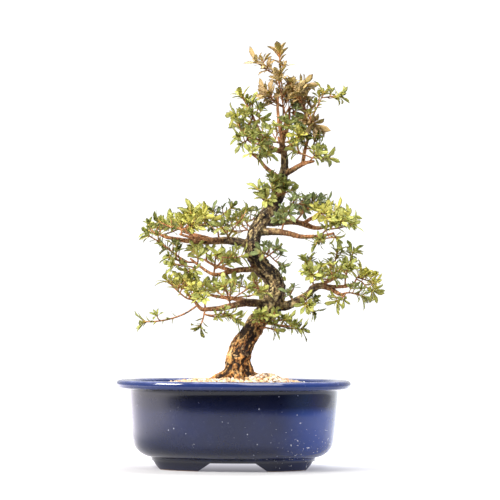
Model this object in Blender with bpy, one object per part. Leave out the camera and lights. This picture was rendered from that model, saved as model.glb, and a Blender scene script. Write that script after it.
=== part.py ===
"""Satsuki azalea bonsai in an oval glazed pot.

The plant stands in a shallow bed of grains inside the pot. Its trunk and main
branches are one piece of wood. Each leafy stem is a piece of its own, with its
leaves grown out of its shoot ends. Lengths in this file are millimetres and are
turned into metres when a mesh is made. +Z is up and the front looks along -Y.
"""

import math
import random

import bmesh
import bpy
from mathutils import Vector
from mathutils.bvhtree import BVHTree

MM = 0.001
PLANT = "satsuki_azalea_bonsai"
CUTTERS = "cutters"

# Pot, measured from its own centre line
RIM_HALF_LENGTH = 127.5
RIM_HALF_DEPTH = 100.0
RIM_TOP = 95.5
LIP_UNDERSIDE = 86.0
OVAL_POWER = 2.3
OVAL_SIDES = 36
FOOT_HEIGHT = 9.0
FLOOR_TOP = 17.5
DEPTH_STEP = RIM_HALF_LENGTH - RIM_HALF_DEPTH
FOOT_RING = (89.0, 73.0)
FOOT_RING_FOOT = (86.5, 71.0)
FOOT_RING_TOP = 11.0
GAP_BETWEEN_FEET = {"long side": (37.0, 24.0), "short side": (30.0, 18.0)}
DRAIN_OFFSET = 45.0
DRAIN_RADIUS = 6.0
POT_X = -18.0

# Drainage mesh
MESH_SIDE = 24.0
MESH_THICKNESS = 0.9
MESH_HOLE = 3.2
MESH_PITCH = 10.0

# Bed of grains
SOIL_EDGE = 87.0
SOIL_RISE = 11.5
HUMP_RISE = 6.0
HUMP_X = 36.0
HUMP_WIDTH = 18.0

# Clearances
GAP = 0.3
ROOT_GAP = 0.4
LEAF_GAP = 0.3
SLIVER = 0.01
TEST_STEP = 1.8
ATTEMPTS = 110
LEAN = (0.1, 0.8)

# Leafy shoots
SEED = 41
THIN_BRANCH = 3.5
STEM_RADIUS = 1.25
SHOOT_RADIUS = 0.95
WHORL_RADIUS = 1.3
WHORL_HEIGHT = 1.3
SEGMENT_LENGTH = 17.0
FORK_FROM_ROOT = 3.5
FORK_SPREAD = 0.15
LEAF_THICKNESS = 0.9
LEAVES_IN_WHORL = (3, 4, 4, 5)
LEAF_LENGTHS = {
    "green": (10.0, 14.0),
    "bright": (11.0, 15.0),
    "dark": (9.0, 12.5),
    "bronze": (14.0, 18.0),
}
LEAF_SLENDERNESS = 0.36
LEAF_WIDEST = 0.62
LEAF_ARCH = 0.35
LEAF_DROOP = 0.07
LEAF_RISE = {"green": 38.0, "bright": 38.0, "dark": 38.0, "bronze": 55.0}
LEAF_TURN = 9.0
LEAF_TRIALS = 10

# Wood: each point is x, y, z and the radius there. The trunk's two lowest legs stand in the soil.
TRUNK = [
    (-4, 0, 70, 7), (-2.5, 0, 84, 9.6), (-1, 0, 96, 10.2), (1.5, 0, 104, 11.5), (4, 0, 112, 13.4),
    (6, 0, 121, 13), (10, 0, 132, 12.2), (15, 0, 142, 11.4), (21, 0, 152, 10.8), (28, 1, 162, 10.4),
    (36, 2, 170, 10.6), (42, 4, 180, 11.4), (46, 5, 190, 11), (44, 5, 200, 10.2), (39, 4, 209, 9.6),
    (32, 2, 216, 9.2), (25, 0, 225, 9), (20, -2, 235, 8.6), (20, -3, 244, 8.2), (22, -3, 253, 7.6),
    (26, -2, 262, 7.4), (31, 0, 271, 7.2), (38, 3, 280, 6.8), (44, 5, 288, 6.2), (49, 6, 298, 5.8),
    (51, 6, 308, 5.4), (53, 5, 319, 4.9), (54, 3, 330, 4.4), (54, 2, 341, 3.9), (52, 1, 349, 3.5),
    (51, 0, 357, 2.8),
]
ROOTS = [
    [(10, 0, 118, 9), (14, -1, 108, 7.4), (17.5, -2, 99, 6.3), (22, -3, 88, 4.5), (27, -4, 76, 2.5)],
    [(-3, -3, 104, 7), (-13, -6, 98.5, 5.6), (-22, -8, 95, 4.4), (-30, -9, 90, 3.2), (-38, -9, 80, 2)],
    [(3, -5, 103, 7), (6, -16, 97.5, 5), (10, -26, 92, 3.6), (13, -34, 82, 2.2)],
    [(2, 6, 103, 7), (-4, 17, 98, 5), (-10, 27, 93, 3.6), (-15, 35, 83, 2.2)],
    [(14, 3, 104, 6), (24, 12, 98.5, 4.4), (33, 19, 92, 3), (40, 24, 81, 2)],
]
BRANCHES = {
    "lower_left": [
        (39, 2, 179, 5.2), (26, -6, 179, 4.4), (13, -14, 179, 3.9), (0, -20, 176, 3.4),
        (-13, -24, 173, 3), (-25, -26, 172, 2.6), (-35, -28, 172, 2.1), (-43, -30, 181, 1.6),
        (-52, -32, 190, 1.3),
    ],
    "lower_left_back": [
        (17, -10, 179, 3.4), (6, 6, 183, 2.8), (-7, 20, 185, 2.3), (-21, 30, 187, 1.8),
        (-33, 36, 190, 1.3),
    ],
    "middle_left": [
        (28, 2, 218, 4.2), (17, -2, 216, 3.4), (6, -6, 215, 3), (-5, -8, 213, 2.7),
        (-14, -10, 210, 2.4), (-23, -12, 210, 2.1), (-31, -13, 214, 1.8), (-39, -14, 220, 1.5),
        (-48, -14, 227, 1.2),
    ],
    "middle_left_back": [
        (-3, -8, 214, 2.4), (-14, 8, 218, 2), (-25, 20, 222, 1.6), (-34, 28, 228, 1.2),
    ],
    "upper_left": [
        (19, -3, 241, 5.6), (7, -2, 245, 4.8), (-6, 0, 247, 4.3), (-19, 2, 247, 4.2),
        (-31, 2, 246, 3.6), (-44, 0, 246, 3.1), (-56, -3, 247, 2.6), (-68, -6, 249, 2.2),
        (-77, -8, 251, 1.8), (-86, -9, 257, 1.3),
    ],
    "upper_left_front": [
        (-14, 0, 247, 3.2), (-24, -14, 247, 2.6), (-36, -26, 248, 2.1), (-48, -34, 249, 1.6),
        (-59, -38, 252, 1.2),
    ],
    "upper_left_back": [
        (-22, 2, 247, 3), (-32, 16, 251, 2.4), (-45, 30, 255, 1.9), (-59, 38, 259, 1.3),
    ],
    "upper_back": [
        (21, 2, 248, 4.2), (21, 16, 250, 3.4), (19, 30, 253, 2.8), (19, 44, 258, 2.2),
        (23, 56, 263, 1.6),
    ],
    "lower_right": [
        (48, 5, 176, 5.8), (59, -2, 177, 4.9), (69, -8, 182, 4.2), (79, -12, 188, 4),
        (86, -14, 195, 4.2), (95, -15, 198, 3.6), (104, -16, 195, 3), (112, -18, 190, 2.2),
        (120, -20, 186, 1.5),
    ],
    "lower_right_end": [
        (99, -15, 197, 2.6), (110, -9, 197, 2.2), (122, -1, 198, 1.9), (133, 5, 201, 1.4),
    ],
    "lower_right_back": [
        (86, -14, 195, 2.9), (95, 0, 200, 2.4), (106, 14, 205, 1.9), (116, 24, 209, 1.4),
    ],
    "lower_back": [
        (43, 8, 184, 4.4), (42, 24, 186, 3.6), (39, 38, 190, 3), (35, 50, 193, 2.3),
        (30, 60, 197, 1.6),
    ],
    "upper_right": [
        (30, -2, 257, 4.8), (40, -6, 257, 4), (51, -10, 256, 3.5), (61, -13, 254, 3),
        (72, -15, 251, 2.6), (84, -16, 251, 2.2), (96, -17, 252, 1.8), (108, -18, 255, 1.3),
    ],
    "upper_right_back": [
        (32, 2, 268, 4.4), (44, 12, 267, 3.9), (57, 18, 269, 3.6), (68, 22, 269, 3.4),
        (79, 24, 266, 3), (89, 26, 263, 2.4), (99, 28, 264, 1.9), (109, 30, 267, 1.3),
    ],
    "upper_right_top": [
        (75, 23, 267, 2.5), (83, 14, 272, 2.1), (91, 5, 276, 1.7), (100, -2, 280, 1.2),
    ],
    "crown_left": [
        (51, 1, 345, 3.3), (41, -4, 348, 2.8), (30, -6, 354, 2.3), (19, -8, 359, 1.9),
        (9, -8, 364, 1.3),
    ],
    "crown_left_top": [
        (32, -6, 353, 2.2), (27, 0, 366, 1.9), (22, 5, 378, 1.6), (17, 8, 388, 1.1),
    ],
    "crown_low_left": [
        (51, 4, 315, 3), (42, -5, 320, 2.6), (33, -11, 327, 2.2), (26, -15, 335, 1.8),
        (18, -16, 341, 1.2),
    ],
    "crown_right": [
        (55, 4, 321, 3.3), (63, 0, 325, 3), (70, -3, 329, 2.7), (77, -5, 332, 2.2),
        (87, -7, 334, 1.4),
    ],
    "crown_right_top": [
        (74, -4, 331, 2.3), (76, 1, 344, 2), (79, 5, 356, 1.6), (84, 8, 367, 1.1),
    ],
    "crown_far_right": [
        (53, 1, 345, 2.7), (65, 3, 355, 2.3), (77, 4, 366, 1.9), (88, 3, 378, 1.3),
    ],
    "crown_top_left": [
        (52, 0, 355, 2.7), (50, -2, 366, 2.3), (47.5, -3, 380, 1.9), (46.5, -3, 394, 1.6),
        (46.5, -2, 406, 1.3),
    ],
    "crown_top_right": [
        (51, 0, 354, 2.7), (56, 4, 367, 2.2), (59, 7, 381, 1.8), (60, 8, 394, 1.2),
    ],
    "crown_back": [
        (54, 3, 334, 2.8), (54, 16, 344, 2.4), (51, 28, 354, 2), (48, 38, 365, 1.4),
    ],
}

# Leafy stems: branch, leaf tone, how far the tips turn up, and the place of each whorl
SPRAYS = [
    ("trunk", "dark", 0.6, [(44, -14, 236), (31, -22, 233), (51, -12, 220)]),
    ("trunk", "green", 0.2, [(30, -24, 165), (54, -10, 161), (64, -10, 154), (72, -4, 151)]),
    ("trunk", "green", -0.8, [(39, -14, 152)]),
    ("trunk", "green", 0.7, [(27, -14, 301), (34, -16, 291)]),
    ("trunk", "green", 0.8, [(41, -12, 302), (45, -12, 311), (59, -4, 301), (54, -10, 308)]),
    ("lower_left", "green", 0.3, [(-94, -34, 158)]),
    ("lower_left", "bright", 0.6, [(-67, -34, 205), (-58, -24, 199), (-43, -42, 189), (-47, -22, 198)]),
    ("lower_left", "green", 0.8, [(-34, -12, 196), (-33, -44, 183)]),
    ("lower_left", "green", 0.8, [(-10, -38, 195), (-18, -18, 191), (-3, -10, 200),
                                  (15, -26, 194), (28, -20, 191)]),
    ("lower_left", "green", -0.8, [(-35, -34, 155), (-4, -38, 165), (2, -28, 161)]),
    ("lower_left_back", "green", 0.8, [(-38, 26, 198), (-46, 38, 194), (-23, 18, 197)]),
    ("middle_left", "green", 0, [(-63, -20, 232), (-72, -8, 237), (-91, -24, 250)]),
    ("middle_left", "green", 0.5, [(-39, -22, 227), (-42, -4, 236)]),
    ("middle_left", "green", 0.7, [(-20, -22, 229), (7, -18, 229), (-11, 4, 228), (-1, -14, 224)]),
    ("middle_left", "green", -0.3, [(-48, -24, 213), (-63, -28, 220)]),
    ("middle_left_back", "green", 0.7, [(-31, 22, 235), (-21, 30, 232)]),
    ("upper_left", "green", 0.4, [(-93, -9, 263), (-85, 8, 261), (-74, 14, 268), (-63, 0, 266)]),
    ("upper_left", "bright", 0.9, [(-52, 4, 269), (-47, -12, 275), (-34, 2, 277), (-41, 12, 271)]),
    ("upper_left", "dark", 0.9, [(-24, -8, 277), (-26, 16, 264), (-5, 0, 282)]),
    ("upper_left", "green", 0.7, [(-14, -24, 260), (-7, -10, 267), (12, -12, 277)]),
    ("upper_left_front", "green", 0.6, [(-79, -24, 263), (-68, -12, 263)]),
    ("upper_left_front", "bright", 0.6, [(-57, -34, 261), (-46, -44, 260), (-36, -28, 269),
                                         (-25, -20, 267)]),
    ("upper_left_back", "green", 0.7, [(-64, 32, 267), (-52, 24, 271), (-43, 36, 270)]),
    ("upper_back", "green", 0.8, [(6, 50, 268), (-1, 40, 260)]),
    ("upper_back", "dark", 0.8, [(16, 62, 276), (29, 68, 278), (39, 56, 274)]),
    ("lower_right", "green", 0.8, [(81, -17, 223), (84, -24, 210), (94, -12, 214),
                                   (114, -22, 215), (107, -30, 207)]),
    ("lower_right", "green", -0.2, [(132, -24, 179), (112, -28, 182)]),
    ("lower_right", "green", -0.1, [(85, -12, 171), (77, -20, 177)]),
    ("lower_right", "dark", 0.9, [(61, -12, 190)]),
    ("lower_right_end", "green", 0.9, [(130, 12, 234), (124, -6, 217)]),
    ("lower_right_end", "bright", 0.4, [(139, 4, 209), (151, 10, 203), (150, -12, 193)]),
    ("lower_right_back", "green", 0.9, [(112, 6, 234), (106, 20, 214), (125, 24, 218)]),
    ("lower_back", "green", 0.7, [(1, 44, 201), (25, 66, 205), (31, 74, 194), (49, 52, 205)]),
    ("upper_right", "dark", 0.9, [(64, -20, 289), (58, -24, 275), (50, -22, 269), (74, -10, 287)]),
    ("upper_right", "green", 0.4, [(120, -16, 260), (115, -30, 267)]),
    ("upper_right", "green", -0.5, [(110, -20, 251), (90, -20, 244)]),
    ("upper_right_back", "dark", 0.9, [(82, 16, 286), (76, 32, 282), (90, 8, 291), (100, 20, 290)]),
    ("upper_right_back", "green", 0.5, [(117, 10, 272), (124, 26, 274)]),
    ("upper_right_back", "green", 0.9, [(52, 26, 278)]),
    ("upper_right_top", "bright", 0.7, [(94, -18, 278), (102, -24, 270), (109, 2, 282)]),
    ("crown_left", "green", 0.3, [(2, -10, 366), (5, 6, 373)]),
    ("crown_left", "green", 0.6, [(9, -14, 353), (17, -18, 361), (33, -14, 359), (26, -22, 351)]),
    ("crown_left_top", "bright", 0.8, [(8, -6, 403), (2, -10, 384)]),
    ("crown_left_top", "green", 0.8, [(19, 0, 396), (25, -12, 377), (16, 2, 374)]),
    ("crown_low_left", "green", 0.5, [(16, -20, 342), (23, -22, 338), (34, -14, 341)]),
    ("crown_right", "green", 0.6, [(93, -8, 338), (100, 4, 339), (65, -10, 345)]),
    ("crown_right_top", "green", 0.7, [(91, 0, 350), (87, -4, 360), (75, -4, 354)]),
    ("crown_far_right", "bronze", 0.8, [(76, 4, 395), (71, -4, 404), (77, 8, 386), (85, -6, 375)]),
    ("crown_far_right", "bright", 0.5, [(102, 0, 401), (113, 4, 407)]),
    ("crown_far_right", "bright", 0.7, [(68, -8, 362)]),
    ("crown_top_left", "bronze", 0.9, [(41, 2, 443), (26, -2, 441), (42, -12, 400), (36, 4, 407)]),
    ("crown_top_left", "green", 0.8, [(56, -14, 372)]),
    ("crown_top_right", "bronze", 0.9, [(54, 6, 420), (60, 0, 411), (71, 8, 417), (69, 14, 407)]),
    ("crown_top_right", "dark", 0.8, [(63, 10, 393), (67, -8, 379)]),
    ("crown_back", "green", 0.7, [(36, 34, 360), (50, 46, 374), (64, 38, 365)]),
]

UP = Vector((0.0, 0.0, 1.0))
rng = random.Random(SEED)


# Curves and distances

def resample(start, start_pull, end_pull, end, steps):
    """Points along the Bezier curve through four control points."""
    points = []
    for step in range(steps + 1):
        t = step / steps
        s = 1.0 - t
        points.append(start * s**3 + start_pull * 3 * s * s * t + end_pull * 3 * s * t * t + end * t**3)
    return points


def cross_frame(direction):
    """Two unit vectors at right angles to a direction and to each other."""
    side = direction.cross(UP)
    if side.length < 0.15:
        side = direction.cross(Vector((1.0, 0.0, 0.0)))
    side.normalize()
    return side, side.cross(direction).normalized()


def nearest_on_segment(point, start, end):
    """Fraction along a segment of the place nearest to a point."""
    run = end - start
    fraction = (point - start).dot(run) / max(run.length_squared, 1e-9)
    return min(1.0, max(0.0, fraction))


def walk(points, index, fraction, back):
    """The place that lies a length back from a place on a line of points."""
    here = points[index].lerp(points[index + 1], fraction)
    while back > 0.0:
        room = (here - points[index]).length
        if room >= back or index == 0:
            step = min(back, room)
            here = here + (points[index] - here).normalized() * step
            break
        back -= room
        here = points[index].copy()
        index -= 1
    run = points[index + 1] - points[index]
    fraction = nearest_on_segment(here, points[index], points[index + 1])
    return here, run.normalized(), index, fraction


def nearest_on_line(points, target):
    """Segment number and fraction of the place on a line nearest to a target."""
    best = None
    for index in range(len(points) - 1):
        fraction = nearest_on_segment(target, points[index], points[index + 1])
        distance = (points[index].lerp(points[index + 1], fraction) - target).length
        if best is None or distance < best[0]:
            best = (distance, index, fraction)
    return best


# Wood as plain lines of points, used to keep stems and leaves clear of it

def split_route(route):
    """Points and radii of a route whose entries are x, y, z and radius."""
    points = [Vector(entry[:3]) for entry in route]
    radii = [entry[3] for entry in route]
    return points, radii


WOOD = {"trunk": split_route(TRUNK)}
for branch_name, branch_route in BRANCHES.items():
    WOOD[branch_name] = split_route(branch_route)
for root_number, root_route in enumerate(ROOTS):
    WOOD["root_%d" % root_number] = split_route(root_route)


def wood_clearance(point, radius, skipped):
    """Shortest way from a ball to any wood, apart from one branch that may be skipped."""
    best = 1e9
    for name, (points, radii) in WOOD.items():
        if name == skipped:
            continue
        for index in range(len(points) - 1):
            start = points[index]
            end = points[index + 1]
            fraction = nearest_on_segment(point, start, end)
            thick = radii[index] + (radii[index + 1] - radii[index]) * fraction
            best = min(best, (start.lerp(end, fraction) - point).length - thick - radius)
    return best


# Shoots: a stem that ends in a whorl of leaves

class Shoot:
    """One stem with its whorl. Its path runs from its root to the whorl."""

    def __init__(self, spray, path, root_radius, tone, leaf_count):
        self.spray = spray
        self.path = path
        self.root_radius = root_radius
        self.tone = tone
        self.leaf_count = leaf_count
        self.turn = rng.uniform(0.0, 2.0 * math.pi)
        self.leaves = [None] * leaf_count

    def radius_at(self, index):
        """Stem radius at a point of the path."""
        share = index / (len(self.path) - 1)
        return self.root_radius + (SHOOT_RADIUS - self.root_radius) * share

    def axis(self):
        """Direction in which the shoot ends."""
        return (self.path[-1] - self.path[-2]).normalized()

    def ring(self, centre, direction, radius):
        """Corners of the stem's section, one for each leaf."""
        side, other = cross_frame(direction)
        corners = []
        for number in range(self.leaf_count):
            angle = self.turn + 2.0 * math.pi * number / self.leaf_count
            corners.append(centre + (side * math.cos(angle) + other * math.sin(angle)) * radius)
        return corners

    def rings(self):
        """All sections from the root to the top of the whorl."""
        sections = []
        last = len(self.path) - 1
        for index, centre in enumerate(self.path):
            ahead = self.path[min(index + 1, last)]
            behind = self.path[max(index - 1, 0)]
            direction = (ahead - behind).normalized()
            radius = self.radius_at(index) if index < last else WHORL_RADIUS
            sections.append(self.ring(centre, direction, radius))
        top = self.path[-1] + self.axis() * WHORL_HEIGHT
        sections.append(self.ring(top, self.axis(), WHORL_RADIUS * 0.9))
        return sections


class Leaf:
    """One blade, rooted in one side of a whorl."""

    def __init__(self, shoot, number, rise, turn, length, half_width):
        low, high = shoot.rings()[-2:]
        after = (number + 1) % shoot.leaf_count
        self.corners = [low[number], low[after], high[after], high[number]]
        self.base = sum(self.corners, Vector()) / 4.0
        axis = shoot.axis()
        centre = shoot.path[-1] + axis * (WHORL_HEIGHT / 2.0)
        outward = (self.base - centre) - axis * (self.base - centre).dot(axis)
        outward.normalize()
        across = (low[after] - low[number]).normalized()
        outward = (outward * math.cos(turn) + across * math.sin(turn)).normalized()
        self.along = outward * math.cos(rise) + axis * math.sin(rise)
        self.face = axis * math.cos(rise) - outward * math.sin(rise)
        self.across = self.along.cross(self.face).normalized()
        if self.across.dot(across) < 0.0:
            self.across = -self.across
        self.length = length
        self.half_width = half_width

    def outline(self, spare):
        """Left, right, tip, upper rib and lower rib, swollen by a spare width."""
        wide = self.half_width + spare
        thick = LEAF_THICKNESS / 2.0 + spare
        middle = self.base + self.along * (self.length * LEAF_WIDEST) + self.face * LEAF_ARCH
        tip = self.base + self.along * (self.length + spare) - self.face * (self.length * LEAF_DROOP)
        rib = self.base + self.along * (self.length * 0.5)
        return (middle - self.across * wide, middle + self.across * wide, tip,
                rib + self.face * thick, rib - self.face * thick)

    def solid(self, spare):
        """Corners and faces of the blade as a closed shape, for the clearance test."""
        points = list(self.corners) + list(self.outline(spare))
        faces = [
            (3, 2, 7), (2, 5, 7), (5, 6, 7), (6, 4, 7), (4, 3, 7),
            (0, 1, 8), (1, 5, 8), (5, 6, 8), (6, 4, 8), (4, 0, 8),
            (2, 1, 5), (3, 0, 4),
        ]
        return points, faces


# Finding room for stems

def stem_is_clear(path, root_radius, spray, parent, stems):
    """True if a stem keeps off the wood and off the stems of other sprays."""
    samples = []
    for start, end in zip(path, path[1:]):
        count = math.ceil((end - start).length / TEST_STEP)
        samples += [start.lerp(end, step / count) for step in range(count)]
    samples.append(path[-1])
    side, other = cross_frame((path[1] - path[0]).normalized())
    for corner in (side, other, -side, -other):
        if parent and wood_clearance(path[0] + corner * root_radius, 0.0, None) < GAP * 0.4:
            return False
    for number, point in enumerate(samples):
        if wood_clearance(point, root_radius, None if number else parent) < GAP:
            return False
        for other_spray, other_path, other_radius in stems:
            if other_spray == spray:
                continue
            for index in range(len(other_path) - 1):
                fraction = nearest_on_segment(point, other_path[index], other_path[index + 1])
                away = (other_path[index].lerp(other_path[index + 1], fraction) - point).length
                if away < root_radius + other_radius + GAP + 0.3:
                    return False
    return True


def grow_stem(target, lift, origin, heading, length_share):
    """Path of a stem that leaves its origin along a heading and ends at a target."""
    reach = (target - origin).length
    away = Vector((target.x - origin.x, target.y - origin.y, 0.0))
    ending = (target - origin).normalized() * 0.7 + UP * (lift * 0.8)
    if away.length > 1.0:
        ending += away.normalized() * 0.25
    ending.normalize()
    steps = max(2, min(4, round(reach / SEGMENT_LENGTH) + 1))
    return resample(origin, origin + heading * reach * length_share,
                    target - ending * reach * 0.32, target, steps)


def nudge(amount):
    """A random shift of up to an amount each way."""
    return Vector([rng.uniform(-amount, amount) for axis in range(3)])


def first_stem(spray, branch, tip, lift, stems):
    """Stem from the side of a branch to the first tip of a spray."""
    points, radii = WOOD[branch]
    for attempt in range(ATTEMPTS):
        target = Vector(tip) + nudge(0.1 * attempt)
        distance, index, fraction = nearest_on_line(points, target)
        back = distance * rng.uniform(*LEAN)
        centre, run, index, fraction = walk(points, index, fraction, back)
        thick = radii[index] + (radii[index + 1] - radii[index]) * fraction
        heading = (target - centre).normalized() + UP * (lift * 0.25) + nudge(0.02 * attempt)
        heading -= run * heading.dot(run)
        heading.normalize()
        origin = centre + heading * (thick + GAP + 0.006 * attempt)
        path = grow_stem(target, lift, origin, heading, 0.3)
        if stem_is_clear(path, STEM_RADIUS, spray, branch, stems):
            return path
    return None


def side_stem(spray, first_path, tip, lift, stems):
    """Stem from the first stem of a spray to another of its tips."""
    lowest = first_path[0] + (first_path[1] - first_path[0]).normalized() * FORK_FROM_ROOT
    forks = [lowest] + first_path[1:]
    for attempt in range(ATTEMPTS):
        target = Vector(tip) + nudge(0.1 * attempt)
        distance, index, fraction = nearest_on_line(forks, target)
        back = distance * rng.uniform(*LEAN)
        origin, run, index, fraction = walk(forks, index, fraction, back)
        origin = origin + nudge(FORK_SPREAD)
        heading = ((target - origin).normalized() + run * 0.6 + nudge(0.02 * attempt)).normalized()
        path = grow_stem(target, lift, origin, heading, 0.3)
        if stem_is_clear(path, SHOOT_RADIUS, spray, None, stems):
            return path
    return None


def grow_shoots():
    """Every shoot of the plant, without its leaves."""
    shoots = []
    stems = []
    for spray, (branch, tone, lift, tips) in enumerate(SPRAYS):
        path = None
        for start in range(len(tips)):
            tips = tips[start:] + tips[:start]
            path = first_stem(spray, branch, tips[0], lift, stems)
            if path is not None:
                break
        if path is None:
            continue
        stems.append((spray, path, STEM_RADIUS))
        shoots.append(Shoot(spray, path, STEM_RADIUS, tone, rng.choice(LEAVES_IN_WHORL)))
        for tip in tips[1:]:
            side = side_stem(spray, path, tip, lift, stems)
            if side is None:
                continue
            stems.append((spray, side, SHOOT_RADIUS))
            shoots.append(Shoot(spray, side, SHOOT_RADIUS, tone, rng.choice(LEAVES_IN_WHORL)))
    return shoots


# Finding room for leaves

def box_of(points):
    """Lowest and highest corner of a set of points."""
    low = Vector([min(point[axis] for point in points) for axis in range(3)])
    high = Vector([max(point[axis] for point in points) for axis in range(3)])
    return low, high


def boxes_meet(first, second):
    """True if two boxes share any space."""
    for axis in range(3):
        if first[0][axis] > second[1][axis] or second[0][axis] > first[1][axis]:
            return False
    return True


def tube_solid(rings):
    """Points and faces of the skin that joins a row of rings."""
    points = [corner for ring in rings for corner in ring]
    count = len(rings[0])
    faces = []
    for row in range(len(rings) - 1):
        for number in range(count):
            after = (number + 1) % count
            faces.append((row * count + number, row * count + after,
                          (row + 1) * count + after, (row + 1) * count + number))
    return points, faces


class Obstacle:
    """A shape that leaves keep clear of."""

    def __init__(self, points, faces, owner):
        self.box = box_of(points)
        self.tree = BVHTree.FromPolygons(points, faces)
        self.owner = owner


def wood_obstacles():
    """The wood as plain tubes."""
    obstacles = []
    for name, (points, radii) in WOOD.items():
        rings = []
        last = len(points) - 1
        for index, centre in enumerate(points):
            direction = (points[min(index + 1, last)] - points[max(index - 1, 0)]).normalized()
            side, other = cross_frame(direction)
            ring = []
            for number in range(8):
                angle = math.pi * number / 4.0
                spoke = side * math.cos(angle) + other * math.sin(angle)
                ring.append(centre + spoke * radii[index] * 1.04)
            rings.append(ring)
        points_list, faces = tube_solid(rings)
        obstacles.append(Obstacle(points_list, faces, name))
    return obstacles


def leaf_is_clear(leaf, shoot, obstacles):
    """True if a leaf touches nothing but its own shoot."""
    points, faces = leaf.solid(LEAF_GAP)
    box = box_of(points)
    if box[0].z < soil_height(leaf.base.x, leaf.base.y) + 2.0:
        return False
    tree = None
    for obstacle in obstacles:
        if obstacle.owner is shoot or not boxes_meet(box, obstacle.box):
            continue
        if tree is None:
            tree = BVHTree.FromPolygons(points, faces)
        if tree.overlap(obstacle.tree):
            return False
    return True


def grow_leaf(shoot, number, obstacles):
    """A leaf that fits, or nothing if there is no room for it."""
    shortest, longest = LEAF_LENGTHS[shoot.tone]
    length = rng.uniform(shortest, longest)
    upright = LEAF_RISE[shoot.tone]
    for attempt in range(LEAF_TRIALS):
        spread = 12.0 + 2.0 * attempt
        rise = math.radians(upright + rng.uniform(-spread, spread))
        turn = math.radians(rng.uniform(-LEAF_TURN, LEAF_TURN))
        shrink = 1.0 - 0.05 * attempt
        half_width = length * shrink * LEAF_SLENDERNESS / 2.0
        leaf = Leaf(shoot, number, rise, turn, length * shrink, half_width)
        if leaf_is_clear(leaf, shoot, obstacles):
            return leaf
    return None


def grow_plant():
    """All shoots with their leaves."""
    shoots = grow_shoots()
    obstacles = wood_obstacles()
    for shoot in shoots:
        points, faces = tube_solid(shoot.rings())
        obstacles.append(Obstacle(points, faces, shoot))
    for shoot in shoots:
        for number in range(shoot.leaf_count):
            leaf = grow_leaf(shoot, number, obstacles)
            shoot.leaves[number] = leaf
            if leaf is not None:
                points, faces = leaf.solid(0.0)
                obstacles.append(Obstacle(points, faces, shoot))
    return shoots


# Mesh making

def make_material(name, colour, roughness, metallic=0.0):
    """A plain Principled material."""
    material = bpy.data.materials.new(name)
    material.use_nodes = True
    shader = material.node_tree.nodes["Principled BSDF"]
    shader.inputs["Base Color"].default_value = (*colour, 1.0)
    shader.inputs["Roughness"].default_value = roughness
    shader.inputs["Metallic"].default_value = metallic
    material.diffuse_color = (*colour, 1.0)
    return material


def collection_named(name):
    """The collection of that name, made on first use."""
    found = bpy.data.collections.get(name)
    if found is None:
        found = bpy.data.collections.new(name)
        bpy.context.scene.collection.children.link(found)
    return found


def new_object(name, mesh, collection):
    """An object with a mesh, linked to a collection."""
    made = bpy.data.objects.new(name, mesh)
    collection_named(collection).objects.link(made)
    return made


def finish_mesh(name, bm):
    """Turns millimetres into metres, points the faces out and makes the mesh."""
    bmesh.ops.recalc_face_normals(bm, faces=bm.faces)
    for vertex in bm.verts:
        vertex.co *= MM
    mesh = bpy.data.meshes.new(name)
    bm.to_mesh(mesh)
    bm.free()
    return mesh


def loft(name, rings, closed=False):
    """A solid through rings of equal count, capped at both ends unless its rings form a loop."""
    bm = bmesh.new()
    rows = [[bm.verts.new(corner) for corner in ring] for ring in rings]
    pairs = list(zip(rows, rows[1:]))
    if closed:
        pairs.append((rows[-1], rows[0]))
    else:
        bm.faces.new(rows[0])
        bm.faces.new(rows[-1])
    count = len(rows[0])
    for low, high in pairs:
        for number in range(count):
            after = (number + 1) % count
            bm.faces.new((low[number], low[after], high[after], high[number]))
    return finish_mesh(name, bm)


def shells(bm):
    """Groups of faces that hang together."""
    waiting = set(bm.faces)
    found = []
    while waiting:
        shell = [waiting.pop()]
        for face in shell:
            for edge in face.edges:
                for other in edge.link_faces:
                    if other in waiting:
                        waiting.remove(other)
                        shell.append(other)
        found.append(shell)
    return found


def keep_main_shell(mesh):
    """Welds slivers away, drops loose scraps and fills hollows that joining has sealed."""
    bm = bmesh.new()
    bm.from_mesh(mesh)
    bmesh.ops.remove_doubles(bm, verts=bm.verts, dist=SLIVER * MM)
    if not all(edge.is_manifold for edge in bm.edges):
        bm.clear()
        bm.from_mesh(mesh)
    ordered = sorted(shells(bm), key=lambda shell: sum(face.calc_area() for face in shell))
    for shell in ordered[:-1]:
        bmesh.ops.delete(bm, geom=shell, context="FACES")
    bm.to_mesh(mesh)
    bm.free()


def boolean(target, operation, helpers, keep_all=False):
    """Joins or cuts a target with helper objects, applies the result and removes the helpers."""
    group = bpy.data.collections.new("boolean_helpers")
    bpy.context.scene.collection.children.link(group)
    for helper in helpers:
        for owner in list(helper.users_collection):
            owner.objects.unlink(helper)
        group.objects.link(helper)
    modifier = target.modifiers.new(operation.title(), "BOOLEAN")
    modifier.operation = operation
    modifier.solver = "MANIFOLD"
    modifier.operand_type = "COLLECTION"
    modifier.collection = group
    evaluated = target.evaluated_get(bpy.context.evaluated_depsgraph_get())
    mesh = bpy.data.meshes.new_from_object(evaluated)
    target.modifiers.clear()
    if not keep_all:
        keep_main_shell(mesh)
    target.data = mesh
    for helper in helpers:
        bpy.data.objects.remove(helper)
    bpy.data.collections.remove(group)


def dress(target, material, smooth=True):
    """Gives an object its only material and its shading."""
    target.data.materials.clear()
    target.data.materials.append(material)
    if smooth:
        target.data.shade_smooth()
        target.data.set_sharp_from_angle(angle=math.radians(38.0))
    target.location.x = POT_X * MM


# Pot

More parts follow.
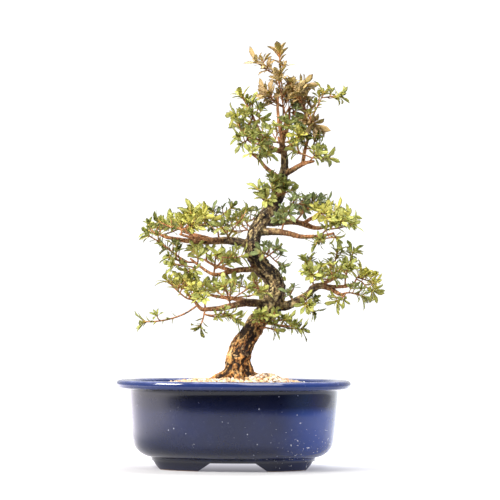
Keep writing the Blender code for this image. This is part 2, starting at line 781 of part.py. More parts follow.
def oval(half_length, height):
    """A ring of the pot's oval at a height, where only the length is given."""
    half_depth = half_length - DEPTH_STEP
    corners = []
    for number in range(OVAL_SIDES):
        angle = 2.0 * math.pi * (number + 0.5) / OVAL_SIDES
        cosine = math.cos(angle)
        sine = math.sin(angle)
        corners.append(Vector((
            math.copysign(abs(cosine) ** (2.0 / OVAL_POWER) * half_length, cosine),
            math.copysign(abs(sine) ** (2.0 / OVAL_POWER) * half_depth, sine),
            height)))
    return corners


def inner_profile():
    """Half length and height of the pot's inside, from the floor up."""
    top = RIM_HALF_LENGTH - 19.0
    return [(81.0, FLOOR_TOP), (94.0, FLOOR_TOP + 1.5), (101.5, FLOOR_TOP + 7.5),
            (104.5, FLOOR_TOP + 16.0), (top - 0.5, SOIL_EDGE - 2.0)]


def outer_profile():
    """Half length and height of the pot's outside, from the underside to the lip."""
    body = RIM_HALF_LENGTH - 13.5
    under = LIP_UNDERSIDE
    return [(89.5, FOOT_HEIGHT), (89.5, 12.2), (91.6, 12.8), (97.5, 14.4), (103.5, 18.4), (107.6, 23.6),
            (109.8, 30.0), (body - 0.6, under - 8.0), (body, under - 3.5), (body + 2.0, under - 1.2),
            (body + 6.0, under), (RIM_HALF_LENGTH - 4.0, under), (RIM_HALF_LENGTH - 1.2, under + 1.8),
            (RIM_HALF_LENGTH, under + 4.6), (RIM_HALF_LENGTH - 0.9, RIM_TOP - 2.0),
            (RIM_HALF_LENGTH - 3.6, RIM_TOP), (RIM_HALF_LENGTH - 15.0, RIM_TOP - 0.4),
            (RIM_HALF_LENGTH - 18.3, RIM_TOP - 2.6)]


def wedge(name, axis, low_half, high_half):
    """A long bar along X or Y, wider below, that cuts a gap between two feet."""
    slope = (low_half - high_half) / FOOT_HEIGHT
    bottom = -1.0
    top = FOOT_RING_TOP + 1.0
    bm = bmesh.new()
    bmesh.ops.create_cube(bm, size=2.0)
    for vertex in bm.verts:
        height = top if vertex.co.z > 0.0 else bottom
        half = low_half - slope * height
        across, along = (vertex.co.x * half, vertex.co.y * 150.0)
        vertex.co = Vector((across, along, height)) if axis == "Y" else Vector((along, across, height))
    return new_object(name, finish_mesh(name, bm), CUTTERS)


def drain_cutter(name, x):
    """A round bar through the floor."""
    bm = bmesh.new()
    bmesh.ops.create_cone(bm, cap_ends=True, segments=20, radius1=DRAIN_RADIUS,
                          radius2=DRAIN_RADIUS, depth=20.0)
    bmesh.ops.translate(bm, verts=bm.verts, vec=(x, 0.0, 14.0))
    return new_object(name, finish_mesh(name, bm), CUTTERS)


def make_pot(material):
    """The glazed pot with its four feet and two drain holes."""
    rings = [oval(*point) for point in outer_profile() + inner_profile()[::-1]]
    pot = new_object("pot", loft("pot", rings), PLANT)
    ring_profile = [(FOOT_RING_FOOT[0], 0.0), (FOOT_RING[0], FOOT_RING_TOP),
                    (FOOT_RING[1], FOOT_RING_TOP), (FOOT_RING_FOOT[1], 0.0)]
    feet = new_object("feet", loft("feet", [oval(*point) for point in ring_profile], closed=True), CUTTERS)
    gaps = [wedge("long_gap", "Y", *GAP_BETWEEN_FEET["long side"]),
            wedge("short_gap", "X", *GAP_BETWEEN_FEET["short side"])]
    boolean(feet, "DIFFERENCE", gaps, keep_all=True)
    boolean(pot, "UNION", [feet])
    drains = [drain_cutter("drain_left", -DRAIN_OFFSET), drain_cutter("drain_right", DRAIN_OFFSET)]
    boolean(pot, "DIFFERENCE", drains)
    dress(pot, material)


# Drainage mesh and soil

def make_drainage_mesh(name, x, material):
    """A square plate with four holes, on the floor over a drain hole."""
    base = FLOOR_TOP + GAP
    bm = bmesh.new()
    bmesh.ops.create_cube(bm, size=1.0)
    bmesh.ops.scale(bm, verts=bm.verts, vec=(MESH_SIDE, MESH_SIDE, MESH_THICKNESS))
    bmesh.ops.translate(bm, verts=bm.verts, vec=(x, 0.0, base + MESH_THICKNESS / 2.0))
    plate = new_object(name, finish_mesh(name, bm), PLANT)
    holes = bmesh.new()
    for column in (-0.5, 0.5):
        for row in (-0.5, 0.5):
            made = bmesh.ops.create_cone(holes, cap_ends=True, segments=6, radius1=MESH_HOLE,
                                         radius2=MESH_HOLE, depth=6.0)
            place = (x + column * MESH_PITCH, row * MESH_PITCH, base)
            bmesh.ops.translate(holes, verts=made["verts"], vec=place)
    cutter = new_object("holes", finish_mesh("holes", holes), CUTTERS)
    boolean(plate, "DIFFERENCE", [cutter])
    dress(plate, material, smooth=False)


def soil_height(x, y):
    """Height of the bed at a place."""
    half_length = RIM_HALF_LENGTH - 20.0
    half_depth = half_length - DEPTH_STEP
    share = (abs(x / half_length) ** OVAL_POWER + abs(y / half_depth) ** OVAL_POWER) ** (1.0 / OVAL_POWER)
    hump = math.exp(-((x - HUMP_X) ** 2 + y * y) / (2.0 * HUMP_WIDTH**2))
    return SOIL_EDGE + SOIL_RISE * max(0.0, 1.0 - share * share) + HUMP_RISE * hump


def make_soil(material):
    """The bed of grains, with plain holes for the roots and pockets for the drainage mesh."""
    rings = [oval(half_length - GAP, height + GAP) for half_length, height in inner_profile()[:-1]]
    edge = RIM_HALF_LENGTH - 19.5 - GAP
    rings.append(oval(edge, SOIL_EDGE - 2.0))
    for share in (0.999, 0.85, 0.68, 0.5, 0.33, 0.17):
        ring = []
        for corner in oval(edge, 0.0):
            x = corner.x * share
            y = corner.y * share
            ring.append(Vector((x, y, soil_height(x, y))))
        rings.append(ring)
    soil = new_object("soil", loft("soil", rings), PLANT)
    cutters = []
    cutters.append(make_limb("trunk_hole", TRUNK[:7], ROOT_GAP, 3))
    for route in ROOTS:
        cutters.append(make_limb("root_hole", route, ROOT_GAP, 2))
    for side in (-1, 1):
        bm = bmesh.new()
        bmesh.ops.create_cube(bm, size=1.0)
        pocket = (MESH_SIDE + 2.0 * GAP, MESH_SIDE + 2.0 * GAP, 2.0 * (MESH_THICKNESS + GAP))
        bmesh.ops.scale(bm, verts=bm.verts, vec=pocket)
        bmesh.ops.translate(bm, verts=bm.verts, vec=(side * DRAIN_OFFSET, 0.0, FLOOR_TOP + GAP))
        cutters.append(new_object("pocket", finish_mesh("pocket", bm), CUTTERS))
    boolean(soil, "DIFFERENCE", cutters)
    dress(soil, material)


# Wood

def make_limb(name, route, swell, resolution):
    """A tapered round limb as a closed mesh."""
    curve = bpy.data.curves.new(name, "CURVE")
    curve.dimensions = "3D"
    curve.twist_mode = "MINIMUM"
    curve.bevel_depth = MM
    curve.bevel_resolution = resolution
    curve.use_fill_caps = True
    spline = curve.splines.new("POLY")
    spline.points.add(len(route) - 1)
    for point, (x, y, z, radius) in zip(spline.points, route):
        point.co = (x * MM, y * MM, z * MM, 1.0)
        point.radius = radius + swell
    guide = new_object(name + "_guide", curve, CUTTERS)
    evaluated = guide.evaluated_get(bpy.context.evaluated_depsgraph_get())
    mesh = bpy.data.meshes.new_from_object(evaluated)
    bm = bmesh.new()
    bm.from_mesh(mesh)
    bmesh.ops.remove_doubles(bm, verts=bm.verts, dist=MM * 0.001)
    bmesh.ops.recalc_face_normals(bm, faces=bm.faces)
    bm.to_mesh(mesh)
    bm.free()
    limb = new_object(name, mesh, CUTTERS)
    limb.matrix_world = guide.matrix_world
    bpy.data.objects.remove(guide)
    return limb


def make_wood(material):
    """Trunk, surface roots and main branches as one body."""
    trunk = make_limb("trunk", TRUNK, 0.0, 3)
    limbs = [make_limb("root", route, 0.0, 2) for route in ROOTS]
    for route in BRANCHES.values():
        is_thin = route[0][3] < THIN_BRANCH
        limbs.append(make_limb("branch", route, 0.0, 0 if is_thin else 1))
    boolean(trunk, "UNION", limbs)
    collection_named(CUTTERS).objects.unlink(trunk)
    collection_named(PLANT).objects.link(trunk)
    dress(trunk, material)


# Leafy stems

def shoot_mesh(name, shoot):
    """Closed mesh of a stem with its leaves raised from the sides of its whorl."""
    bm = bmesh.new()
    rows = [[bm.verts.new(corner) for corner in ring] for ring in shoot.rings()]
    count = shoot.leaf_count
    bm.faces.new(rows[0])
    for level, (low, high) in enumerate(zip(rows, rows[1:])):
        in_whorl = level == len(rows) - 2
        for number in range(count):
            after = (number + 1) % count
            leaf = shoot.leaves[number] if in_whorl else None
            if leaf is None:
                bm.faces.new((low[number], low[after], high[after], high[number]))
                continue
            left, right, tip, above, below = [bm.verts.new(point) for point in leaf.outline(0.0)]
            upper = [high[number], high[after], right, tip, left]
            lower = [low[number], low[after], right, tip, left]
            for rim, rib in ((upper, above), (lower, below)):
                for index in range(5):
                    bm.faces.new((rim[index], rim[(index + 1) % 5], rib))
            bm.faces.new((high[after], low[after], right))
            bm.faces.new((high[number], low[number], left))
    bud = bm.verts.new(shoot.path[-1] + shoot.axis() * (WHORL_HEIGHT * 2.0))
    for number in range(count):
        bm.faces.new((rows[-1][number], rows[-1][(number + 1) % count], bud))
    return finish_mesh(name, bm)


def make_sprays(shoots, materials):
    """One node for each leafy stem."""
    for spray, (branch, tone, lift, tips) in enumerate(SPRAYS):
        own = [shoot for shoot in shoots if shoot.spray == spray]
        if not own:
            continue
        name = "leafy_stem_%02d" % (spray + 1)
        parts = [new_object(name, shoot_mesh(name, shoot), CUTTERS) for shoot in own]
        stem = parts[0]
        if len(parts) > 1:
            boolean(stem, "UNION", parts[1:])
        collection_named(CUTTERS).objects.unlink(stem)
        collection_named(PLANT).objects.link(stem)
        stem.name = name
        dress(stem, materials[tone], smooth=False)


def clear_scene():
    """Removes what the scene holds."""
    for item in list(bpy.data.objects):
        bpy.data.objects.remove(item)


def main():
    """Builds the plant and its pot."""
    clear_scene()
    glaze = make_material("blue_glaze", (0.035, 0.05, 0.2), 0.16)
    grains = make_material("kanuma_grains", (0.72, 0.5, 0.3), 0.95)
    plastic = make_material("mesh_plastic", (0.05, 0.05, 0.05), 0.6)
    bark = make_material("bark", (0.26, 0.13, 0.06), 0.85)
    leaf_colours = {
        "green": make_material("leaf_green", (0.16, 0.26, 0.06), 0.5),
        "bright": make_material("leaf_bright", (0.32, 0.4, 0.08), 0.5),
        "dark": make_material("leaf_dark", (0.06, 0.12, 0.04), 0.5),
        "bronze": make_material("leaf_bronze", (0.24, 0.18, 0.07), 0.5),
    }
    make_pot(glaze)
    make_drainage_mesh("drainage_mesh_left", -DRAIN_OFFSET, plastic)
    make_drainage_mesh("drainage_mesh_right", DRAIN_OFFSET, plastic)
    make_soil(grains)
    make_wood(bark)
    make_sprays(grow_plant(), leaf_colours)


main()
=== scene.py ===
"""Looks of a satsuki azalea bonsai in an oval glazed pot.

The plant is laid out again by the same rule and the same random draws as its solids,
so each fine leaf stands where the solid's blade is. Lengths of the layout are
millimetres and are turned into metres when a mesh is made. The front looks along -Y.
"""

import math
import random
from collections import namedtuple

import bmesh
import bpy
from mathutils import Matrix, Vector, kdtree, noise
from mathutils.bvhtree import BVHTree


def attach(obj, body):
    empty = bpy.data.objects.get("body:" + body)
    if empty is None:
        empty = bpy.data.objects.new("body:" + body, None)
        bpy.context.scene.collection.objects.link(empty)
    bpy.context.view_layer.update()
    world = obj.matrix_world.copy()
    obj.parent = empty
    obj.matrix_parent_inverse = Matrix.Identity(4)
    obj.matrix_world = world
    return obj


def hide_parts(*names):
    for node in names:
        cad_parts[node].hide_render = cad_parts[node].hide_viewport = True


MM = 0.001

# Pot, measured from its own centre line
RIM_HALF_LENGTH = 127.5
RIM_HALF_DEPTH = 100.0
RIM_TOP = 95.5
LIP_UNDERSIDE = 86.0
OVAL_POWER = 2.3
FOOT_HEIGHT = 9.0
FLOOR_TOP = 17.5
DEPTH_STEP = RIM_HALF_LENGTH - RIM_HALF_DEPTH
FOOT_RING = (89.0, 73.0)
FOOT_RING_FOOT = (86.5, 71.0)
FOOT_RING_TOP = 11.0
GAP_BETWEEN_FEET = {"long side": (37.0, 24.0), "short side": (30.0, 18.0)}
DRAIN_OFFSET = 45.0
DRAIN_RADIUS = 6.0
POT_X = -18.0
POT_SHIFT = Vector((POT_X, 0.0, 0.0))

# Bed of grains
SOIL_EDGE = 87.0
SOIL_INSET = 20.0
SOIL_RISE = 11.5
HUMP_RISE = 6.0
HUMP_X = 36.0
HUMP_WIDTH = 18.0

# Clearances
GAP = 0.3
LEAF_GAP = 0.3
TEST_STEP = 1.8
ATTEMPTS = 110
LEAN = (0.1, 0.8)

# Leafy shoots
SEED = 41
STEM_RADIUS = 1.25
SHOOT_RADIUS = 0.95
WHORL_RADIUS = 1.3
WHORL_HEIGHT = 1.3
SEGMENT_LENGTH = 17.0
FORK_FROM_ROOT = 3.5
FORK_SPREAD = 0.15
LEAF_THICKNESS = 0.9
LEAVES_IN_WHORL = (3, 4, 4, 5)
LEAF_LENGTHS = {
    "green": (10.0, 14.0),
    "bright": (11.0, 15.0),
    "dark": (9.0, 12.5),
    "bronze": (14.0, 18.0),
}
LEAF_SLENDERNESS = 0.36
LEAF_WIDEST = 0.62
LEAF_ARCH = 0.35
LEAF_DROOP = 0.07
LEAF_RISE = {"green": 38.0, "bright": 38.0, "dark": 38.0, "bronze": 55.0}
LEAF_TURN = 9.0
LEAF_TRIALS = 10

# Wood: each point is x, y, z and the radius there. The trunk's two lowest legs stand in the soil.
TRUNK = [
    (-4, 0, 70, 7), (-2.5, 0, 84, 9.6), (-1, 0, 96, 10.2), (1.5, 0, 104, 11.5), (4, 0, 112, 13.4),
    (6, 0, 121, 13), (10, 0, 132, 12.2), (15, 0, 142, 11.4), (21, 0, 152, 10.8), (28, 1, 162, 10.4),
    (36, 2, 170, 10.6), (42, 4, 180, 11.4), (46, 5, 190, 11), (44, 5, 200, 10.2), (39, 4, 209, 9.6),
    (32, 2, 216, 9.2), (25, 0, 225, 9), (20, -2, 235, 8.6), (20, -3, 244, 8.2), (22, -3, 253, 7.6),
    (26, -2, 262, 7.4), (31, 0, 271, 7.2), (38, 3, 280, 6.8), (44, 5, 288, 6.2), (49, 6, 298, 5.8),
    (51, 6, 308, 5.4), (53, 5, 319, 4.9), (54, 3, 330, 4.4), (54, 2, 341, 3.9), (52, 1, 349, 3.5),
    (51, 0, 357, 2.8),
]
ROOTS = [
    [(10, 0, 118, 9), (14, -1, 108, 7.4), (17.5, -2, 99, 6.3), (22, -3, 88, 4.5), (27, -4, 76, 2.5)],
    [(-3, -3, 104, 7), (-13, -6, 98.5, 5.6), (-22, -8, 95, 4.4), (-30, -9, 90, 3.2), (-38, -9, 80, 2)],
    [(3, -5, 103, 7), (6, -16, 97.5, 5), (10, -26, 92, 3.6), (13, -34, 82, 2.2)],
    [(2, 6, 103, 7), (-4, 17, 98, 5), (-10, 27, 93, 3.6), (-15, 35, 83, 2.2)],
    [(14, 3, 104, 6), (24, 12, 98.5, 4.4), (33, 19, 92, 3), (40, 24, 81, 2)],
]
BRANCHES = {
    "lower_left": [
        (39, 2, 179, 5.2), (26, -6, 179, 4.4), (13, -14, 179, 3.9), (0, -20, 176, 3.4),
        (-13, -24, 173, 3), (-25, -26, 172, 2.6), (-35, -28, 172, 2.1), (-43, -30, 181, 1.6),
        (-52, -32, 190, 1.3),
    ],
    "lower_left_back": [
        (17, -10, 179, 3.4), (6, 6, 183, 2.8), (-7, 20, 185, 2.3), (-21, 30, 187, 1.8),
        (-33, 36, 190, 1.3),
    ],
    "middle_left": [
        (28, 2, 218, 4.2), (17, -2, 216, 3.4), (6, -6, 215, 3), (-5, -8, 213, 2.7),
        (-14, -10, 210, 2.4), (-23, -12, 210, 2.1), (-31, -13, 214, 1.8), (-39, -14, 220, 1.5),
        (-48, -14, 227, 1.2),
    ],
    "middle_left_back": [
        (-3, -8, 214, 2.4), (-14, 8, 218, 2), (-25, 20, 222, 1.6), (-34, 28, 228, 1.2),
    ],
    "upper_left": [
        (19, -3, 241, 5.6), (7, -2, 245, 4.8), (-6, 0, 247, 4.3), (-19, 2, 247, 4.2),
        (-31, 2, 246, 3.6), (-44, 0, 246, 3.1), (-56, -3, 247, 2.6), (-68, -6, 249, 2.2),
        (-77, -8, 251, 1.8), (-86, -9, 257, 1.3),
    ],
    "upper_left_front": [
        (-14, 0, 247, 3.2), (-24, -14, 247, 2.6), (-36, -26, 248, 2.1), (-48, -34, 249, 1.6),
        (-59, -38, 252, 1.2),
    ],
    "upper_left_back": [
        (-22, 2, 247, 3), (-32, 16, 251, 2.4), (-45, 30, 255, 1.9), (-59, 38, 259, 1.3),
    ],
    "upper_back": [
        (21, 2, 248, 4.2), (21, 16, 250, 3.4), (19, 30, 253, 2.8), (19, 44, 258, 2.2),
        (23, 56, 263, 1.6),
    ],
    "lower_right": [
        (48, 5, 176, 5.8), (59, -2, 177, 4.9), (69, -8, 182, 4.2), (79, -12, 188, 4),
        (86, -14, 195, 4.2), (95, -15, 198, 3.6), (104, -16, 195, 3), (112, -18, 190, 2.2),
        (120, -20, 186, 1.5),
    ],
    "lower_right_end": [
        (99, -15, 197, 2.6), (110, -9, 197, 2.2), (122, -1, 198, 1.9), (133, 5, 201, 1.4),
    ],
    "lower_right_back": [
        (86, -14, 195, 2.9), (95, 0, 200, 2.4), (106, 14, 205, 1.9), (116, 24, 209, 1.4),
    ],
    "lower_back": [
        (43, 8, 184, 4.4), (42, 24, 186, 3.6), (39, 38, 190, 3), (35, 50, 193, 2.3),
        (30, 60, 197, 1.6),
    ],
    "upper_right": [
        (30, -2, 257, 4.8), (40, -6, 257, 4), (51, -10, 256, 3.5), (61, -13, 254, 3),
        (72, -15, 251, 2.6), (84, -16, 251, 2.2), (96, -17, 252, 1.8), (108, -18, 255, 1.3),
    ],
    "upper_right_back": [
        (32, 2, 268, 4.4), (44, 12, 267, 3.9), (57, 18, 269, 3.6), (68, 22, 269, 3.4),
        (79, 24, 266, 3), (89, 26, 263, 2.4), (99, 28, 264, 1.9), (109, 30, 267, 1.3),
    ],
    "upper_right_top": [
        (75, 23, 267, 2.5), (83, 14, 272, 2.1), (91, 5, 276, 1.7), (100, -2, 280, 1.2),
    ],
    "crown_left": [
        (51, 1, 345, 3.3), (41, -4, 348, 2.8), (30, -6, 354, 2.3), (19, -8, 359, 1.9),
        (9, -8, 364, 1.3),
    ],
    "crown_left_top": [
        (32, -6, 353, 2.2), (27, 0, 366, 1.9), (22, 5, 378, 1.6), (17, 8, 388, 1.1),
    ],
    "crown_low_left": [
        (51, 4, 315, 3), (42, -5, 320, 2.6), (33, -11, 327, 2.2), (26, -15, 335, 1.8),
        (18, -16, 341, 1.2),
    ],
    "crown_right": [
        (55, 4, 321, 3.3), (63, 0, 325, 3), (70, -3, 329, 2.7), (77, -5, 332, 2.2),
        (87, -7, 334, 1.4),
    ],
    "crown_right_top": [
        (74, -4, 331, 2.3), (76, 1, 344, 2), (79, 5, 356, 1.6), (84, 8, 367, 1.1),
    ],
    "crown_far_right": [
        (53, 1, 345, 2.7), (65, 3, 355, 2.3), (77, 4, 366, 1.9), (88, 3, 378, 1.3),
    ],
    "crown_top_left": [
        (52, 0, 355, 2.7), (50, -2, 366, 2.3), (47.5, -3, 380, 1.9), (46.5, -3, 394, 1.6),
        (46.5, -2, 406, 1.3),
    ],
    "crown_top_right": [
        (51, 0, 354, 2.7), (56, 4, 367, 2.2), (59, 7, 381, 1.8), (60, 8, 394, 1.2),
    ],
    "crown_back": [
        (54, 3, 334, 2.8), (54, 16, 344, 2.4), (51, 28, 354, 2), (48, 38, 365, 1.4),
    ],
}

# Leafy stems: branch, leaf tone, how far the tips turn up, and the place of each whorl
SPRAYS = [
    ("trunk", "dark", 0.6, [(44, -14, 236), (31, -22, 233), (51, -12, 220)]),
    ("trunk", "green", 0.2, [(30, -24, 165), (54, -10, 161), (64, -10, 154), (72, -4, 151)]),
    ("trunk", "green", -0.8, [(39, -14, 152)]),
    ("trunk", "green", 0.7, [(27, -14, 301), (34, -16, 291)]),
    ("trunk", "green", 0.8, [(41, -12, 302), (45, -12, 311), (59, -4, 301), (54, -10, 308)]),
    ("lower_left", "green", 0.3, [(-94, -34, 158)]),
    ("lower_left", "bright", 0.6, [(-67, -34, 205), (-58, -24, 199), (-43, -42, 189), (-47, -22, 198)]),
    ("lower_left", "green", 0.8, [(-34, -12, 196), (-33, -44, 183)]),
    ("lower_left", "green", 0.8, [(-10, -38, 195), (-18, -18, 191), (-3, -10, 200),
                                  (15, -26, 194), (28, -20, 191)]),
    ("lower_left", "green", -0.8, [(-35, -34, 155), (-4, -38, 165), (2, -28, 161)]),
    ("lower_left_back", "green", 0.8, [(-38, 26, 198), (-46, 38, 194), (-23, 18, 197)]),
    ("middle_left", "green", 0, [(-63, -20, 232), (-72, -8, 237), (-91, -24, 250)]),
    ("middle_left", "green", 0.5, [(-39, -22, 227), (-42, -4, 236)]),
    ("middle_left", "green", 0.7, [(-20, -22, 229), (7, -18, 229), (-11, 4, 228), (-1, -14, 224)]),
    ("middle_left", "green", -0.3, [(-48, -24, 213), (-63, -28, 220)]),
    ("middle_left_back", "green", 0.7, [(-31, 22, 235), (-21, 30, 232)]),
    ("upper_left", "green", 0.4, [(-93, -9, 263), (-85, 8, 261), (-74, 14, 268), (-63, 0, 266)]),
    ("upper_left", "bright", 0.9, [(-52, 4, 269), (-47, -12, 275), (-34, 2, 277), (-41, 12, 271)]),
    ("upper_left", "dark", 0.9, [(-24, -8, 277), (-26, 16, 264), (-5, 0, 282)]),
    ("upper_left", "green", 0.7, [(-14, -24, 260), (-7, -10, 267), (12, -12, 277)]),
    ("upper_left_front", "green", 0.6, [(-79, -24, 263), (-68, -12, 263)]),
    ("upper_left_front", "bright", 0.6, [(-57, -34, 261), (-46, -44, 260), (-36, -28, 269),
                                         (-25, -20, 267)]),
    ("upper_left_back", "green", 0.7, [(-64, 32, 267), (-52, 24, 271), (-43, 36, 270)]),
    ("upper_back", "green", 0.8, [(6, 50, 268), (-1, 40, 260)]),
    ("upper_back", "dark", 0.8, [(16, 62, 276), (29, 68, 278), (39, 56, 274)]),
    ("lower_right", "green", 0.8, [(81, -17, 223), (84, -24, 210), (94, -12, 214),
                                   (114, -22, 215), (107, -30, 207)]),
    ("lower_right", "green", -0.2, [(132, -24, 179), (112, -28, 182)]),
    ("lower_right", "green", -0.1, [(85, -12, 171), (77, -20, 177)]),
    ("lower_right", "dark", 0.9, [(61, -12, 190)]),
    ("lower_right_end", "green", 0.9, [(130, 12, 234), (124, -6, 217)]),
    ("lower_right_end", "bright", 0.4, [(139, 4, 209), (151, 10, 203), (150, -12, 193)]),
    ("lower_right_back", "green", 0.9, [(112, 6, 234), (106, 20, 214), (125, 24, 218)]),
    ("lower_back", "green", 0.7, [(1, 44, 201), (25, 66, 205), (31, 74, 194), (49, 52, 205)]),
    ("upper_right", "dark", 0.9, [(64, -20, 289), (58, -24, 275), (50, -22, 269), (74, -10, 287)]),
    ("upper_right", "green", 0.4, [(120, -16, 260), (115, -30, 267)]),
    ("upper_right", "green", -0.5, [(110, -20, 251), (90, -20, 244)]),
    ("upper_right_back", "dark", 0.9, [(82, 16, 286), (76, 32, 282), (90, 8, 291), (100, 20, 290)]),
    ("upper_right_back", "green", 0.5, [(117, 10, 272), (124, 26, 274)]),
    ("upper_right_back", "green", 0.9, [(52, 26, 278)]),
    ("upper_right_top", "bright", 0.7, [(94, -18, 278), (102, -24, 270), (109, 2, 282)]),
    ("crown_left", "green", 0.3, [(2, -10, 366), (5, 6, 373)]),
    ("crown_left", "green", 0.6, [(9, -14, 353), (17, -18, 361), (33, -14, 359), (26, -22, 351)]),
    ("crown_left_top", "bright", 0.8, [(8, -6, 403), (2, -10, 384)]),
    ("crown_left_top", "green", 0.8, [(19, 0, 396), (25, -12, 377), (16, 2, 374)]),
    ("crown_low_left", "green", 0.5, [(16, -20, 342), (23, -22, 338), (34, -14, 341)]),
    ("crown_right", "green", 0.6, [(93, -8, 338), (100, 4, 339), (65, -10, 345)]),
    ("crown_right_top", "green", 0.7, [(91, 0, 350), (87, -4, 360), (75, -4, 354)]),
    ("crown_far_right", "bronze", 0.8, [(76, 4, 395), (71, -4, 404), (77, 8, 386), (85, -6, 375)]),
    ("crown_far_right", "bright", 0.5, [(102, 0, 401), (113, 4, 407)]),
    ("crown_far_right", "bright", 0.7, [(68, -8, 362)]),
    ("crown_top_left", "bronze", 0.9, [(41, 2, 443), (26, -2, 441), (42, -12, 400), (36, 4, 407)]),
    ("crown_top_left", "green", 0.8, [(56, -14, 372)]),
    ("crown_top_right", "bronze", 0.9, [(54, 6, 420), (60, 0, 411), (71, 8, 417), (69, 14, 407)]),
    ("crown_top_right", "dark", 0.8, [(63, 10, 393), (67, -8, 379)]),
    ("crown_back", "green", 0.7, [(36, 34, 360), (50, 46, 374), (64, 38, 365)]),
]

UP = Vector((0.0, 0.0, 1.0))
rng = random.Random(SEED)


# Curves and distances

def resample(start, start_pull, end_pull, end, steps):
    """Points along the Bezier curve through four control points."""
    points = []
    for step in range(steps + 1):
        t = step / steps
        s = 1.0 - t
        points.append(start * s**3 + start_pull * 3 * s * s * t + end_pull * 3 * s * t * t + end * t**3)
    return points


def cross_frame(direction):
    """Two unit vectors at right angles to a direction and to each other."""
    side = direction.cross(UP)
    if side.length < 0.15:
        side = direction.cross(Vector((1.0, 0.0, 0.0)))
    side.normalize()
    return side, side.cross(direction).normalized()


def spoke_at(side, other, angle):
    """The direction at an angle from one of two crossed directions towards the other."""
    return side * math.cos(angle) + other * math.sin(angle)


def direction_at(points, index):
    """Direction of a line of points at one of them."""
    ahead = points[min(index + 1, len(points) - 1)]
    behind = points[max(index - 1, 0)]
    return (ahead - behind).normalized()


def between(low, high, share):
    """The number that lies a share of the way from one number to another."""
    return low + (high - low) * share


def band(low, high):
    """Faces between two rings that have the same number of corners."""
    faces = []
    for number in range(len(low)):
        after = (number + 1) % len(low)
        faces.append((low[number], low[after], high[after], high[number]))
    return faces


def nearest_on_segment(point, start, end):
    """Fraction along a segment of the place nearest to a point."""
    run = end - start
    fraction = (point - start).dot(run) / max(run.length_squared, 1e-9)
    return min(1.0, max(0.0, fraction))


def walk(points, index, fraction, back):
    """The place that lies a length back from a place on a line of points."""
    here = points[index].lerp(points[index + 1], fraction)
    while back > 0.0:
        room = (here - points[index]).length
        if room >= back or index == 0:
            step = min(back, room)
            here = here + (points[index] - here).normalized() * step
            break
        back -= room
        here = points[index].copy()
        index -= 1
    run = points[index + 1] - points[index]
    fraction = nearest_on_segment(here, points[index], points[index + 1])
    return here, run.normalized(), index, fraction


def nearest_on_line(points, target):
    """Segment number and fraction of the place on a line nearest to a target."""
    best = None
    for index in range(len(points) - 1):
        fraction = nearest_on_segment(target, points[index], points[index + 1])
        distance = (points[index].lerp(points[index + 1], fraction) - target).length
        if best is None or distance < best[0]:
            best = (distance, index, fraction)
    return best


# Wood as plain lines of points, used to keep stems and leaves clear of it

def split_route(route):
    """Points and radii of a route whose entries are x, y, z and radius."""
    points = [Vector(entry[:3]) for entry in route]
    radii = [entry[3] for entry in route]
    return points, radii


WOOD = {"trunk": split_route(TRUNK)}
for branch_name, branch_route in BRANCHES.items():
    WOOD[branch_name] = split_route(branch_route)
for root_number, root_route in enumerate(ROOTS):
    WOOD["root_%d" % root_number] = split_route(root_route)


def wood_clearance(point, radius, skipped):
    """Shortest way from a ball to any wood, apart from one branch that may be skipped."""
    best = 1e9
    for name, (points, radii) in WOOD.items():
        if name == skipped:
            continue
        for index in range(len(points) - 1):
            start = points[index]
            end = points[index + 1]
            fraction = nearest_on_segment(point, start, end)
            thick = between(radii[index], radii[index + 1], fraction)
            best = min(best, (start.lerp(end, fraction) - point).length - thick - radius)
    return best


# Shoots: a stem that ends in a whorl of leaves

class Shoot:
    """One stem with its whorl. Its path runs from its root to the whorl."""

    def __init__(self, spray, path, root_radius, tone, leaf_count):
        self.spray = spray
        self.path = path
        self.root_radius = root_radius
        self.tone = tone
        self.leaf_count = leaf_count
        self.turn = rng.uniform(0.0, 2.0 * math.pi)
        self.leaves = [None] * leaf_count

    def radius_at(self, index):
        """Stem radius at a point of the path."""
        return between(self.root_radius, SHOOT_RADIUS, index / (len(self.path) - 1))

    def axis(self):
        """Direction in which the shoot ends."""
        return (self.path[-1] - self.path[-2]).normalized()

    def ring(self, centre, direction, radius):
        """Corners of the stem's section, one for each leaf."""
        side, other = cross_frame(direction)
        corners = []
        for number in range(self.leaf_count):
            angle = self.turn + 2.0 * math.pi * number / self.leaf_count
            corners.append(centre + spoke_at(side, other, angle) * radius)
        return corners

    def rings(self):
        """All sections from the root to the top of the whorl."""
        sections = []
        last = len(self.path) - 1
        for index, centre in enumerate(self.path):
            radius = self.radius_at(index) if index < last else WHORL_RADIUS
            sections.append(self.ring(centre, direction_at(self.path, index), radius))
        top = self.path[-1] + self.axis() * WHORL_HEIGHT
        sections.append(self.ring(top, self.axis(), WHORL_RADIUS * 0.9))
        return sections


